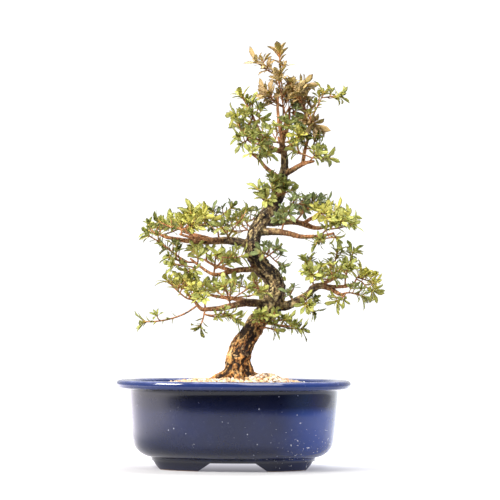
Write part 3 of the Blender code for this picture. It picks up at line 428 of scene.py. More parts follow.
class Leaf:
    """One blade, rooted in one side of a whorl."""

    def __init__(self, shoot, number, rise, turn, length, half_width):
        low, high = shoot.rings()[-2:]
        after = (number + 1) % shoot.leaf_count
        self.corners = [low[number], low[after], high[after], high[number]]
        self.base = sum(self.corners, Vector()) / 4.0
        axis = shoot.axis()
        centre = shoot.path[-1] + axis * (WHORL_HEIGHT / 2.0)
        outward = (self.base - centre) - axis * (self.base - centre).dot(axis)
        outward.normalize()
        across = (low[after] - low[number]).normalized()
        outward = spoke_at(outward, across, turn).normalized()
        self.along = spoke_at(outward, axis, rise)
        self.face = axis * math.cos(rise) - outward * math.sin(rise)
        self.across = self.along.cross(self.face).normalized()
        if self.across.dot(across) < 0.0:
            self.across = -self.across
        self.length = length
        self.half_width = half_width

    def outline(self, spare):
        """Left, right, tip, upper rib and lower rib, swollen by a spare width."""
        wide = self.half_width + spare
        thick = LEAF_THICKNESS / 2.0 + spare
        middle = self.base + self.along * (self.length * LEAF_WIDEST) + self.face * LEAF_ARCH
        tip = self.base + self.along * (self.length + spare) - self.face * (self.length * LEAF_DROOP)
        rib = self.base + self.along * (self.length * 0.5)
        return (middle - self.across * wide, middle + self.across * wide, tip,
                rib + self.face * thick, rib - self.face * thick)

    def solid(self, spare):
        """Corners and faces of the blade as a closed shape, for the clearance test."""
        points = list(self.corners) + list(self.outline(spare))
        faces = [
            (3, 2, 7), (2, 5, 7), (5, 6, 7), (6, 4, 7), (4, 3, 7),
            (0, 1, 8), (1, 5, 8), (5, 6, 8), (6, 4, 8), (4, 0, 8),
            (2, 1, 5), (3, 0, 4),
        ]
        return points, faces


# Finding room for stems

def stem_is_clear(path, root_radius, spray, parent, stems):
    """True if a stem keeps off the wood and off the stems of other sprays."""
    samples = []
    for start, end in zip(path, path[1:]):
        count = math.ceil((end - start).length / TEST_STEP)
        samples += [start.lerp(end, step / count) for step in range(count)]
    samples.append(path[-1])
    side, other = cross_frame((path[1] - path[0]).normalized())
    for corner in (side, other, -side, -other):
        if parent and wood_clearance(path[0] + corner * root_radius, 0.0, None) < GAP * 0.4:
            return False
    for number, point in enumerate(samples):
        if wood_clearance(point, root_radius, None if number else parent) < GAP:
            return False
        for other_spray, other_path, other_radius in stems:
            if other_spray == spray:
                continue
            for index in range(len(other_path) - 1):
                fraction = nearest_on_segment(point, other_path[index], other_path[index + 1])
                away = (other_path[index].lerp(other_path[index + 1], fraction) - point).length
                if away < root_radius + other_radius + GAP + 0.3:
                    return False
    return True


def grow_stem(target, lift, origin, heading, length_share):
    """Path of a stem that leaves its origin along a heading and ends at a target."""
    reach = (target - origin).length
    away = Vector((target.x - origin.x, target.y - origin.y, 0.0))
    ending = (target - origin).normalized() * 0.7 + UP * (lift * 0.8)
    if away.length > 1.0:
        ending += away.normalized() * 0.25
    ending.normalize()
    steps = max(2, min(4, round(reach / SEGMENT_LENGTH) + 1))
    return resample(origin, origin + heading * reach * length_share,
                    target - ending * reach * 0.32, target, steps)


def nudge(amount):
    """A random shift of up to an amount each way."""
    return Vector([rng.uniform(-amount, amount) for axis in range(3)])


def first_stem(spray, branch, tip, lift, stems):
    """Stem from the side of a branch to the first tip of a spray."""
    points, radii = WOOD[branch]
    for attempt in range(ATTEMPTS):
        target = Vector(tip) + nudge(0.1 * attempt)
        distance, index, fraction = nearest_on_line(points, target)
        back = distance * rng.uniform(*LEAN)
        centre, run, index, fraction = walk(points, index, fraction, back)
        thick = between(radii[index], radii[index + 1], fraction)
        heading = (target - centre).normalized() + UP * (lift * 0.25) + nudge(0.02 * attempt)
        heading -= run * heading.dot(run)
        heading.normalize()
        origin = centre + heading * (thick + GAP + 0.006 * attempt)
        path = grow_stem(target, lift, origin, heading, 0.3)
        if stem_is_clear(path, STEM_RADIUS, spray, branch, stems):
            return path
    return None


def side_stem(spray, first_path, tip, lift, stems):
    """Stem from the first stem of a spray to another of its tips."""
    lowest = first_path[0] + (first_path[1] - first_path[0]).normalized() * FORK_FROM_ROOT
    forks = [lowest] + first_path[1:]
    for attempt in range(ATTEMPTS):
        target = Vector(tip) + nudge(0.1 * attempt)
        distance, index, fraction = nearest_on_line(forks, target)
        back = distance * rng.uniform(*LEAN)
        origin, run, index, fraction = walk(forks, index, fraction, back)
        origin = origin + nudge(FORK_SPREAD)
        heading = ((target - origin).normalized() + run * 0.6 + nudge(0.02 * attempt)).normalized()
        path = grow_stem(target, lift, origin, heading, 0.3)
        if stem_is_clear(path, SHOOT_RADIUS, spray, None, stems):
            return path
    return None


def grow_shoots():
    """Every shoot of the plant, without its leaves."""
    shoots = []
    stems = []
    for spray, (branch, tone, lift, tips) in enumerate(SPRAYS):
        path = None
        for start in range(len(tips)):
            tips = tips[start:] + tips[:start]
            path = first_stem(spray, branch, tips[0], lift, stems)
            if path is not None:
                break
        if path is None:
            continue
        stems.append((spray, path, STEM_RADIUS))
        shoots.append(Shoot(spray, path, STEM_RADIUS, tone, rng.choice(LEAVES_IN_WHORL)))
        for tip in tips[1:]:
            side = side_stem(spray, path, tip, lift, stems)
            if side is None:
                continue
            stems.append((spray, side, SHOOT_RADIUS))
            shoots.append(Shoot(spray, side, SHOOT_RADIUS, tone, rng.choice(LEAVES_IN_WHORL)))
    return shoots


# Finding room for leaves

def box_of(points):
    """Lowest and highest corner of a set of points."""
    low = Vector([min(point[axis] for point in points) for axis in range(3)])
    high = Vector([max(point[axis] for point in points) for axis in range(3)])
    return low, high


def boxes_meet(first, second):
    """True if two boxes share any space."""
    for axis in range(3):
        if first[0][axis] > second[1][axis] or second[0][axis] > first[1][axis]:
            return False
    return True


def tube_solid(rings):
    """Points and faces of the skin that joins a row of rings."""
    points = [corner for ring in rings for corner in ring]
    count = len(rings[0])
    rows = [range(first, first + count) for first in range(0, len(points), count)]
    faces = [face for low, high in zip(rows, rows[1:]) for face in band(low, high)]
    return points, faces


class Obstacle:
    """A shape that leaves keep clear of."""

    def __init__(self, points, faces, owner):
        self.box = box_of(points)
        self.tree = BVHTree.FromPolygons(points, faces)
        self.owner = owner


def wood_obstacles():
    """The wood as plain tubes."""
    obstacles = []
    for name, (points, radii) in WOOD.items():
        rings = []
        for index, centre in enumerate(points):
            side, other = cross_frame(direction_at(points, index))
            spokes = [spoke_at(side, other, math.pi * number / 4.0) for number in range(8)]
            rings.append([centre + spoke * radii[index] * 1.04 for spoke in spokes])
        points_list, faces = tube_solid(rings)
        obstacles.append(Obstacle(points_list, faces, name))
    return obstacles


def leaf_is_clear(leaf, shoot, obstacles):
    """True if a leaf touches nothing but its own shoot."""
    points, faces = leaf.solid(LEAF_GAP)
    box = box_of(points)
    if box[0].z < soil_height(leaf.base.x, leaf.base.y) + 2.0:
        return False
    tree = None
    for obstacle in obstacles:
        if obstacle.owner is shoot or not boxes_meet(box, obstacle.box):
            continue
        if tree is None:
            tree = BVHTree.FromPolygons(points, faces)
        if tree.overlap(obstacle.tree):
            return False
    return True


def grow_leaf(shoot, number, obstacles):
    """A leaf that fits, or nothing if there is no room for it."""
    shortest, longest = LEAF_LENGTHS[shoot.tone]
    length = rng.uniform(shortest, longest)
    upright = LEAF_RISE[shoot.tone]
    for attempt in range(LEAF_TRIALS):
        spread = 12.0 + 2.0 * attempt
        rise = math.radians(upright + rng.uniform(-spread, spread))
        turn = math.radians(rng.uniform(-LEAF_TURN, LEAF_TURN))
        shrink = 1.0 - 0.05 * attempt
        half_width = length * shrink * LEAF_SLENDERNESS / 2.0
        leaf = Leaf(shoot, number, rise, turn, length * shrink, half_width)
        if leaf_is_clear(leaf, shoot, obstacles):
            return leaf
    return None


def grow_plant():
    """All shoots with their leaves."""
    shoots = grow_shoots()
    obstacles = wood_obstacles()
    for shoot in shoots:
        points, faces = tube_solid(shoot.rings())
        obstacles.append(Obstacle(points, faces, shoot))
    for shoot in shoots:
        for number in range(shoot.leaf_count):
            leaf = grow_leaf(shoot, number, obstacles)
            shoot.leaves[number] = leaf
            if leaf is not None:
                points, faces = leaf.solid(0.0)
                obstacles.append(Obstacle(points, faces, shoot))
    return shoots


def oval_share(x, y, half_length):
    """How far out a place lies in one of the pot's ovals: 0 at the centre, 1 at the edge."""
    half_depth = half_length - DEPTH_STEP
    return (abs(x / half_length) ** OVAL_POWER + abs(y / half_depth) ** OVAL_POWER) ** (1.0 / OVAL_POWER)


def soil_height(x, y):
    """Height of the bed at a place."""
    share = oval_share(x, y, RIM_HALF_LENGTH - SOIL_INSET)
    hump = math.exp(-((x - HUMP_X) ** 2 + y * y) / (2.0 * HUMP_WIDTH**2))
    return SOIL_EDGE + SOIL_RISE * max(0.0, 1.0 - share * share) + HUMP_RISE * hump


# Looks of the leaves
BLADE_STEPS = 5
BLADE_COLUMNS = 4
BLADE_LONGER = 1.2
BLADE_WIDER = 1.16
BLADE_THICKNESS = 0.34
BLADE_WIDTHS = [
    (0.0, 0.26), (0.1, 0.24), (0.2, 0.34), (0.32, 0.54), (0.45, 0.78), (0.57, 0.95), (0.68, 1.0),
    (0.79, 0.95), (0.88, 0.74), (0.95, 0.42), (0.985, 0.2), (1.0, 0.04),
]
BLADE_SINK = 0.6
BLADE_RISE = 0.22
BLADE_BEND = 0.29
BLADE_FOLD_POWER = 1.4
BLADE_WAVE_PACE = 9.0
BLADE_WAVE_SHIFT = 1.3
BLADE_FOLD = (0.1, 0.5)
BLADE_CURL = (-0.1, 0.16)
BLADE_WAVE = (0.0, 0.045)
BLADE_SWAY = (-0.06, 0.06)
SLENDERNESS = (0.29, 0.41)
LEAF_SEED = 1000
HEART_LEAVES = (2, 3)
HEART_SHARE = (0.42, 0.7)
HEART_RISE = (58.0, 80.0)
OUTER_LEAVES = (2, 3, 4)
OUTER_SHARE = (0.76, 1.14)
OUTER_RISE = (-26.0, 22.0)
OUTER_DROP = 1.2
LOW_RISE = (-40.0, 4.0)
LOW_DROP = 3.0
STEM_LEAF_SHARE = (0.5, 0.85)
STEM_LEAF_STEP = (2.6, 4.6)
STEM_LEAF_RISE = (22.0, 55.0)
STEM_LEAF_REACH = 0.62
STEM_LEAF_TURN = 2.4

# Looks of the twigs. Shoots that end to the right of one place or above another get more twiglets.
STEM_SHARE = 0.8
STEM_SIDES = 8
STEM_SINK = 1.6
STEM_FLARE = 1.35
TWIG_SWELL = 0.22
# Along a bud: height in whorl heights, and thickness as a share of the stem's end
BUD_PROFILE = [(0.5, 1.25), (1.1, 1.05), (1.9, 0.72), (2.4, 0.2)]
TWIG_STEP = 1.6
TWIGLET_SIDES = 6
TWIGLET_RADII = [0.62, 0.56, 0.52]
TWIGLET_TIP_LENGTH = 1.4
TWIGLET_TIP_RADIUS = 0.22
TWIGLET_PLACES = (0.3, 0.52, 0.74)
TWIGLET_LENGTH = (4.5, 8.5)
TWIGLET_LEAVES = (4, 5, 6)
TWIGLET_SHARE = (0.66, 0.96)
TWIGLET_RISE = (22.0, 66.0)
TWIGLET_HEART = (1, 2)
TWIGLET_HEART_RISE = (60.0, 80.0)
TWIGLET_ROOM = 2.5
TWIGLET_CHANCE = 0.6
FULLER_CHANCE = 0.95
FULLER_RIGHT = 30.0
FULLER_ABOVE = 350.0

# Looks of the wood
WOOD_STEP = 1.5
TRUNK_SIDES = 28
BRANCH_SIDES = 14
BARK_VOXEL = 0.82
BARK_SOFTNESS = 0.5
BARK_SOFTENINGS = 2
BARK_NEIGHBOURS = 5
BARK_DEPTH = 0.8
SCAR_SEED = 77
SCAR_COUNT = 46
SCAR_LOWEST = 98.0
SCAR_WIDEST = 3.4
SCAR_SIZES = (0.3, 0.5)
SCAR_SIDES = 10
# Along a knob: height and width as shares of the knob's own
SCAR_PROFILE = [(0.0, 1.15), (0.55, 1.0), (0.85, 0.85), (1.0, 0.45)]

# Looks of the soil and the pot
BED_DROP = 2.0
BED_INSET = 19.9
BED_TAPER = 1.5
BED_DEPTH = 15.0
BED_RELIEF = 0.7
BED_SIDES = 120
BED_SHARES = (0.985, 0.94, 0.88, 0.8, 0.7, 0.6, 0.48, 0.36, 0.24, 0.12, 0.0)
GRAIN_SEED = 5
GRAIN_COUNT = 3300
GRAIN_SIZES = (1.1, 2.3)
GRAIN_INSET = 20.5
GRAIN_SINK = (-0.75, 0.3)
GRAIN_STRETCHES = ((0.8, 1.3), (0.75, 1.15), (0.65, 1.0))
GRAIN_DENTS = 0.5
GRAIN_NOISE_SPAN = 99.0
FINE_BELOW = 1.5
MIDDLE_BELOW = 1.9
HEAP_RISE = 1.3
POT_SIDES = 180
CORNER_SHARES = (0.22, 0.78)
POT_WAVE = 0.22
POT_SHARP_ANGLE = 32.0
FOOT_EDGE_ANGLE = 35.0
FOOT_EDGE_WIDTH = 1.0
WEDGE_HALF_LENGTH = 150.0
DRAIN_BAR_LENGTH = 20.0
DRAIN_BAR_HEIGHT = 14.0


# Meshes

def smooth_step(value, low, high):
    """0 below low, 1 above high, and a smooth rise between."""
    share = min(1.0, max(0.0, (value - low) / (high - low)))
    return share * share * (3.0 - 2.0 * share)


def from_table(table, place):
    """Value of a table of (place, value) pairs at a place, joined by straight lines."""
    for (low, low_value), (high, high_value) in zip(table, table[1:]):
        if place <= high:
            return low_value + (high_value - low_value) * (place - low) / (high - low)
    return table[-1][1]


def spline_point(points, place):
    """Place on the smooth curve through points, where the whole number is the point's own."""
    last = len(points) - 1
    index = min(int(place), last - 1)
    t = place - index
    before = points[max(index - 1, 0)]
    start = points[index]
    end = points[index + 1]
    after = points[min(index + 2, last)]
    pull_start = (end - before) * 0.5
    pull_end = (after - start) * 0.5
    square = t * t
    cube = square * t
    return (start * (2 * cube - 3 * square + 1) + pull_start * (cube - 2 * square + t)
            + end * (3 * square - 2 * cube) + pull_end * (cube - square))


def smooth_route(points, radii, step):
    """A route resampled as a smooth curve, about one step apart."""
    places = []
    sizes = []
    for index in range(len(points) - 1):
        count = max(1, math.ceil((points[index + 1] - points[index]).length / step))
        for part in range(count):
            t = part / count
            places.append(spline_point(points, index + t))
            sizes.append(between(radii[index], radii[index + 1], t))
    places.append(points[-1].copy())
    sizes.append(radii[-1])
    return places, sizes


def placed(name, data):
    """A new object that shows some data, linked to the scene."""
    made = bpy.data.objects.new(name, data)
    bpy.context.scene.collection.objects.link(made)
    return made


def object_of(bm, name):
    """A new object of a mesh in the making, which is then freed."""
    mesh = bpy.data.meshes.new(name)
    bm.to_mesh(mesh)
    bm.free()
    return placed(name, mesh)


def add_numbers(mesh, numbers):
    """Keeps lists of numbers, one for each vertex, on a mesh."""
    for key, values in numbers.items():
        layer = mesh.attributes.new(key, "FLOAT", "POINT")
        layer.data.foreach_set("value", values)


def kept_result(thing):
    """The object's mesh with its modifiers applied and taken off."""
    evaluated = thing.evaluated_get(bpy.context.evaluated_depsgraph_get())
    mesh = bpy.data.meshes.new_from_object(evaluated)
    thing.modifiers.clear()
    thing.data = mesh
    return mesh


class Sheet:
    """Vertices, faces and per-vertex numbers of a mesh in the making, in millimetres."""

    def __init__(self, *names):
        self.points = []
        self.faces = []
        self.numbers = {name: [] for name in names}

    def add(self, point, *values):
        """Adds a vertex with its numbers and returns its index."""
        self.points.append(point)
        for name, value in zip(self.numbers, values):
            self.numbers[name].append(value)
        return len(self.points) - 1

    def mesh_object(self, name, smooth=True):
        """The finished object, in the pot's place."""
        mesh = bpy.data.meshes.new(name)
        mesh.from_pydata([(point + POT_SHIFT) * MM for point in self.points], [], self.faces)
        add_numbers(mesh, self.numbers)
        if smooth:
            mesh.shade_smooth()
        return placed(name, mesh)


def tube(sheet, places, sizes, sides, values, wobble=None):
    """Adds a closed tube. Each place has its own numbers, and a wobble may change the radius."""
    rows = []
    side = None
    for index, centre in enumerate(places):
        direction = direction_at(places, index)
        if side is None:
            side = cross_frame(direction)[0]
        side = (side - direction * side.dot(direction)).normalized()
        other = side.cross(direction)
        row = []
        for number in range(sides):
            spoke = spoke_at(side, other, 2.0 * math.pi * number / sides)
            size = sizes[index]
            if wobble:
                size += wobble(centre, spoke, size)
            row.append(sheet.add(centre + spoke * size, *values(index)))
        rows.append(row)
    for low, high in zip(rows, rows[1:]):
        sheet.faces += band(low, high)
    for row, way in ((rows[0], -1), (rows[-1], 1)):
        sheet.faces.append(tuple(row[::way]))


# Leaves

# How one fine leaf lies: its root, its directions and its size
Blade = namedtuple("Blade", "base along face across length half_width")


def blade_of(leaf):
    """The fine blade that stands where a solid leaf is."""
    return Blade(leaf.base, leaf.along, leaf.face, leaf.across, leaf.length * BLADE_LONGER,
                 leaf.half_width * BLADE_WIDER)


def loose_blade(base, axis, angle, rise, length, slenderness):
    """A blade that leaves an axis at an angle round it and a rise from its cross plane."""
    side, other = cross_frame(axis)
    outward = spoke_at(side, other, angle)
    along = spoke_at(outward, axis, rise)
    face = axis * math.cos(rise) - outward * math.sin(rise)
    return Blade(base, along, face, along.cross(face).normalized(), length, length * slenderness / 2.0)


def add_blade(sheet, blade, tint, age, draw):
    """Adds one leaf as a thin closed solid with a fold along its rib and a bent tip."""
    fold = draw.uniform(*BLADE_FOLD)
    curl = draw.uniform(*BLADE_CURL)
    wave = draw.uniform(*BLADE_WAVE)
    phase = draw.uniform(0.0, 2.0 * math.pi)
    sway = draw.uniform(*BLADE_SWAY)
    length = blade.length
    upper = []
    lower = []
    for step in range(BLADE_STEPS + 1):
        t = step / BLADE_STEPS
        height = length * (BLADE_RISE * t - (BLADE_BEND + curl) * t * t + curl * t)
        rib = (blade.base + blade.along * (length * t - BLADE_SINK * (1.0 - t)) + blade.face * height
               + blade.across * (sway * length * t * t))
        width = blade.half_width * from_table(BLADE_WIDTHS, t)
        top_row = []
        under_row = []
        for column in range(BLADE_COLUMNS + 1):
            v = 2.0 * column / BLADE_COLUMNS - 1.0
            lift = fold * abs(v) ** BLADE_FOLD_POWER * width
            shift = phase + (BLADE_WAVE_SHIFT if v > 0.0 else 0.0)
            lift += wave * length * abs(v) * math.sin(BLADE_WAVE_PACE * t + shift)
            point = rib + blade.across * (v * width) + blade.face * lift
            if column in (0, BLADE_COLUMNS):
                vertex = sheet.add(point, t, v, tint, age)
                top_row.append(vertex)
                under_row.append(vertex)
                continue
            swell = BLADE_THICKNESS * (1.25 - 0.75 * t) * (0.75 if v else 1.0)
            rise = blade.face * (swell / 2.0)
            top_row.append(sheet.add(point + rise, t, v, tint, age))
            under_row.append(sheet.add(point - rise * (1.6 if v == 0.0 else 1.0), t, v, tint, age))
        upper.append(top_row)
        lower.append(under_row)
    for rows, turned in ((upper, False), (lower, True)):
        for low, high in zip(rows, rows[1:]):
            for column in range(BLADE_COLUMNS):
                face = (low[column], low[column + 1], high[column + 1], high[column])
                sheet.faces.append(face[::-1] if turned else face)
    for top_row, under_row, turned in ((upper[0], lower[0], False), (upper[-1], lower[-1], True)):
        ends = tuple(top_row + under_row[-2:0:-1])
        sheet.faces.append(ends[::-1] if turned else ends)


def whorl_blades(end, axis, counts, share, rises, typical, draw):
    """A ring of blades round the end of a stem."""
    count = draw.choice(counts)
    turn = draw.uniform(0.0, 2.0 * math.pi)
    blades = []
    for number in range(count):
        angle = turn + 2.0 * math.pi * number / count + draw.uniform(-0.35, 0.35)
        rise = math.radians(draw.uniform(*rises))
        length = typical * draw.uniform(*share)
        base = end + axis * draw.uniform(0.2, 1.4)
        blades.append(loose_blade(base, axis, angle, rise, length, draw.uniform(*SLENDERNESS)))
    return blades


def path_length(path):
    """Length of a line of points."""
    return sum((end - start).length for start, end in zip(path, path[1:]))


def stem_blades(path, typical, draw):
    """Blades that stand in turn along the outer part of a stem."""
    blades = []
    reach = path_length(path) * STEM_LEAF_REACH
    back = draw.uniform(1.6, 3.2)
    angle = draw.uniform(0.0, 2.0 * math.pi)
    while back < reach:
        base, run, index, fraction = walk(path, len(path) - 2, 1.0, back)
        rise = math.radians(draw.uniform(*STEM_LEAF_RISE))
        length = typical * draw.uniform(*STEM_LEAF_SHARE)
        blades.append(loose_blade(base, run, angle, rise, length, draw.uniform(*SLENDERNESS)))
        angle += STEM_LEAF_TURN + draw.uniform(-0.3, 0.3)
        back += draw.uniform(*STEM_LEAF_STEP)
    return blades


def twiglets(shoot, typical, room, draw):
    """Short side twigs of a stem, each with a small whorl: paths and blades."""
    paths = []
    blades = []
    reach = path_length(shoot.path)
    end = shoot.path[-1]
    fuller = end.x > FULLER_RIGHT or end.z > FULLER_ABOVE
    chance = FULLER_CHANCE if fuller else TWIGLET_CHANCE
    places = [share for share in TWIGLET_PLACES if reach * share > 4.0 and draw.random() < chance]
    for share in places:
        start, run, index, fraction = walk(shoot.path, len(shoot.path) - 2, 1.0, reach * (1.0 - share))
        side, other = cross_frame(run)
        angle = draw.uniform(0.0, 2.0 * math.pi)
        heading = spoke_at(side, other, angle) + run * 0.7 + UP * 0.55
        heading.normalize()
        length = draw.uniform(*TWIGLET_LENGTH)
        ending = (heading + UP * 0.5).normalized()
        end = start + heading * (length * 0.5) + ending * (length * 0.5)
        if wood_clearance(end, TWIGLET_ROOM, None) < 0.0 or not inside_box(end, room, typical * 0.8):
            continue
        paths.append([start, start + heading * (length * 0.5), end])
        blades += whorl_blades(end, ending, TWIGLET_LEAVES, TWIGLET_SHARE, TWIGLET_RISE, typical, draw)
        blades += whorl_blades(end, ending, TWIGLET_HEART, HEART_SHARE, TWIGLET_HEART_RISE, typical, draw)
    return paths, blades


def inside_box(place, box, margin):
    """True if a place is inside a box by a margin."""
    for axis in range(3):
        if not box[0][axis] + margin < place[axis] < box[1][axis] - margin:
            return False
    return True


def shoot_blades(shoot, draw):
    """The fine leaves of a shoot beside its twiglets, and the length of a full one."""
    blades = [blade_of(leaf) for leaf in shoot.leaves if leaf is not None]
    shortest, longest = LEAF_LENGTHS[shoot.tone]
    typical = (shortest + longest) / 2.0
    axis = shoot.axis()
    end = shoot.path[-1]
    upright = LEAF_RISE[shoot.tone]
    blades += whorl_blades(end, axis, HEART_LEAVES, HEART_SHARE, HEART_RISE, typical, draw)
    outer = [upright + change for change in OUTER_RISE]
    blades += whorl_blades(end - axis * OUTER_DROP, axis, OUTER_LEAVES, OUTER_SHARE, outer, typical, draw)
    blades += stem_blades(shoot.path, typical, draw)
    if end.x > FULLER_RIGHT:
        low = [upright + change for change in LOW_RISE]
        blades += whorl_blades(end - axis * LOW_DROP, axis, OUTER_LEAVES, OUTER_SHARE, low, typical, draw)
    return blades, typical


def make_leaves(spray, shoots, room, material):
    """The leaves of one leafy stem, and the paths of the twiglets that carry some of them."""
    draw = random.Random(LEAF_SEED + spray)
    sheet = Sheet("along", "across", "tint", "age")
    paths = []
    for shoot in shoots:
        shoot_tint = draw.random()
        blades, typical = shoot_blades(shoot, draw)
        side_paths, side_blades = twiglets(shoot, typical, room, draw)
        paths += side_paths
        for blade in blades + side_blades:
            tint = min(1.0, max(0.0, 0.6 * shoot_tint + 0.4 * draw.random()))
            add_blade(sheet, blade, tint, draw.random(), draw)
    made = sheet.mesh_object("leaves_%02d" % (spray + 1))
    made.data.materials.append(material)
    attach(made, "root")
    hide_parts("leafy_stem_%02d" % (spray + 1))
    return paths


# Twigs

def twig_wobble(centre, spoke, size):
    """Small swellings along a twig."""
    place = centre * 0.55 + spoke * 0.8
    return size * TWIG_SWELL * noise.noise(place)


def make_twigs(spray, shoots, side_paths, material):
    """The stems and buds of one leafy stem, rooted in the branch."""
    sheet = Sheet("thick", "low")
    for number, shoot in enumerate(shoots):
        radii = [shoot.radius_at(index) * STEM_SHARE for index in range(len(shoot.path))]
        points = list(shoot.path)
        if number == 0:
            points.insert(0, points[0] - (points[1] - points[0]).normalized() * STEM_SINK)
            radii.insert(0, radii[0] * STEM_FLARE)
        places, sizes = smooth_route(points, radii, TWIG_STEP)
        axis = shoot.axis()
        end = sizes[-1]
        for height, share in BUD_PROFILE:
            places.append(shoot.path[-1] + axis * (WHORL_HEIGHT * height))
            sizes.append(end * share)
        tube(sheet, places, sizes, STEM_SIDES, lambda index: (sizes[index], 0.0), twig_wobble)
    for path in side_paths:
        places, sizes = smooth_route(path, TWIGLET_RADII, TWIG_STEP)
        places.append(path[-1] + (path[-1] - path[-2]).normalized() * TWIGLET_TIP_LENGTH)
        sizes.append(TWIGLET_TIP_RADIUS)
        tube(sheet, places, sizes, TWIGLET_SIDES, lambda index: (sizes[index], 0.0), twig_wobble)
    made = sheet.mesh_object("twigs_%02d" % (spray + 1))
    made.data.materials.append(material)
    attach(made, "root")
    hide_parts("leafy_stem_%02d" % (spray + 1))


# Wood

def wood_lines():
    """Every limb as a smooth line of places and radii."""
    lines = []
    for name, (points, radii) in WOOD.items():
        places, sizes = smooth_route(points, radii, WOOD_STEP)
        lines.append((name, places, sizes))
    return lines


def no_numbers(index):
    """The numbers of a place on a tube that keeps none."""
    return ()


def bark_wobble(centre, spoke, size):
    """Uneven roundness of a limb before its bark is laid on."""
    slow = noise.noise(centre * 0.05 + spoke * 0.9)
    quick = noise.noise(centre * 0.16 + spoke * 1.7 + Vector((9.0, 3.0, 5.0)))
    return size * (0.17 * slow + 0.12 * quick)


def add_scars(sheet, lines, draw):
    """Knobs where old shoots were cut off."""
    for number in range(SCAR_COUNT):
        name, places, sizes = draw.choice(lines[:1] * 5 + lines[1:])
        index = draw.randrange(4, len(places) - 4)
        if places[index].z < SCAR_LOWEST:
            continue
        run = (places[index + 1] - places[index]).normalized()
        side, other = cross_frame(run)
        spoke = spoke_at(side, other, draw.uniform(0.0, 2.0 * math.pi))
        size = min(SCAR_WIDEST, sizes[index] * draw.uniform(*SCAR_SIZES))
        start = places[index] + spoke * (sizes[index] * 0.55)
        reach = sizes[index] * 0.45 + size * draw.uniform(0.25, 0.75)
        knob = [start + spoke * (reach * height) for height, share in SCAR_PROFILE]
        widths = [size * share for height, share in SCAR_PROFILE]
        tube(sheet, knob, widths, SCAR_SIDES, no_numbers)


def bark_relief(place, away, run_length, radius):
    """How far the bark stands out at a place: long ridges, flakes and pits."""
    body = smooth_step(radius, 2.0, 9.0)
    across = away * (radius * 0.42)
    ridge_place = across + Vector((0.0, 0.0, run_length * 0.075))
    ridges = 0.5 - abs(noise.noise(ridge_place))
    twist = noise.noise(across * 0.6 + Vector((3.0, 7.0, run_length * 0.05)))
    flakes = noise.noise(place * 0.42)
    grit = noise.noise(place * 1.1)
    relief = body * (2.3 * ridges - 0.75) + (0.3 + 1.3 * body) * twist
    relief += (0.3 + 0.75 * body) * flakes + (0.12 + 0.3 * body) * grit
    return relief * BARK_DEPTH


def make_wood_piece(material):
    """Trunk, roots and branches as one skin with bark relief."""
    lines = wood_lines()
    sheet = Sheet()
    for name, places, sizes in lines:
        sides = TRUNK_SIDES if name == "trunk" else BRANCH_SIDES
        tube(sheet, places, sizes, sides, no_numbers, bark_wobble)
    add_scars(sheet, lines, random.Random(SCAR_SEED))
    made = sheet.mesh_object("wood")
    remesh = made.modifiers.new("Remesh", "REMESH")
    remesh.mode = "VOXEL"
    remesh.voxel_size = BARK_VOXEL * MM
    soften = made.modifiers.new("Smooth", "SMOOTH")
    soften.factor = BARK_SOFTNESS
    soften.iterations = BARK_SOFTENINGS
    mesh = kept_result(made)
    samples = [(place, sizes[index], index * WOOD_STEP)
               for name, places, sizes in lines for index, place in enumerate(places)]
    tree = kdtree.KDTree(len(samples))
    for number, sample in enumerate(samples):
        tree.insert(sample[0], number)
    tree.balance()
    normals = [vertex.normal.copy() for vertex in mesh.vertices]
    moved = []
    thick = []
    low = []
    for vertex, normal in zip(mesh.vertices, normals):
        place = vertex.co / MM - POT_SHIFT
        best = None
        for where, number, distance in tree.find_n(place, BARK_NEIGHBOURS):
            over = distance - samples[number][1]
            if best is None or over < best[0]:
                best = (over, number)
        centre, radius, run_length = samples[best[1]]
        away = (place - centre).normalized()
        relief = bark_relief(place, away, run_length, radius)
        moved.extend(vertex.co + normal * (relief * MM))
        thick.append(radius)
        low.append(relief)
    mesh.vertices.foreach_set("co", moved)
    mesh.update()
    add_numbers(mesh, {"thick": thick, "low": low})
    mesh.shade_smooth()
    mesh.materials.clear()
    mesh.materials.append(material)
    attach(made, "root")
    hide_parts("trunk")


# Soil

def make_bed(material):
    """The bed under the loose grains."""
    sheet = Sheet()
    edge = RIM_HALF_LENGTH - BED_INSET
    rows = []
    for share in BED_SHARES:
        row = []
        for x, y in oval_points(edge, BED_SIDES):
            place = Vector((x * share, y * share, 0.0))
            rise = BED_RELIEF * noise.noise(place * 0.25) - BED_RELIEF - BED_DROP
            place.z = soil_height(place.x, place.y) + rise
            row.append(sheet.add(place))
            if share == 0.0:
                break
        rows.append(row)
    under = oval_points(edge - BED_TAPER, BED_SIDES)
    base = [sheet.add(Vector((x, y, SOIL_EDGE - BED_DEPTH))) for x, y in under]
    rows.insert(0, base)
    for low, high in zip(rows[:-1], rows[1:-1]):
        sheet.faces += band(low, high)
    for number in range(BED_SIDES):
        sheet.faces.append((rows[-2][number], rows[-2][(number + 1) % BED_SIDES], rows[-1][0]))
    sheet.faces.append(tuple(base[::-1]))
    made = sheet.mesh_object("soil_bed")
    made.data.materials.append(material)
    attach(made, "root")
    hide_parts("soil")


def grain_shape():
    """Corners and faces of a round pebble to be bent into each grain."""
    bm = bmesh.new()
    bmesh.ops.create_icosphere(bm, subdivisions=2, radius=1.0)
    bm.verts.index_update()
    corners = [vertex.co.copy() for vertex in bm.verts]
    faces = [tuple(vertex.index for vertex in face.verts) for face in bm.faces]
    bm.free()
    return corners, faces


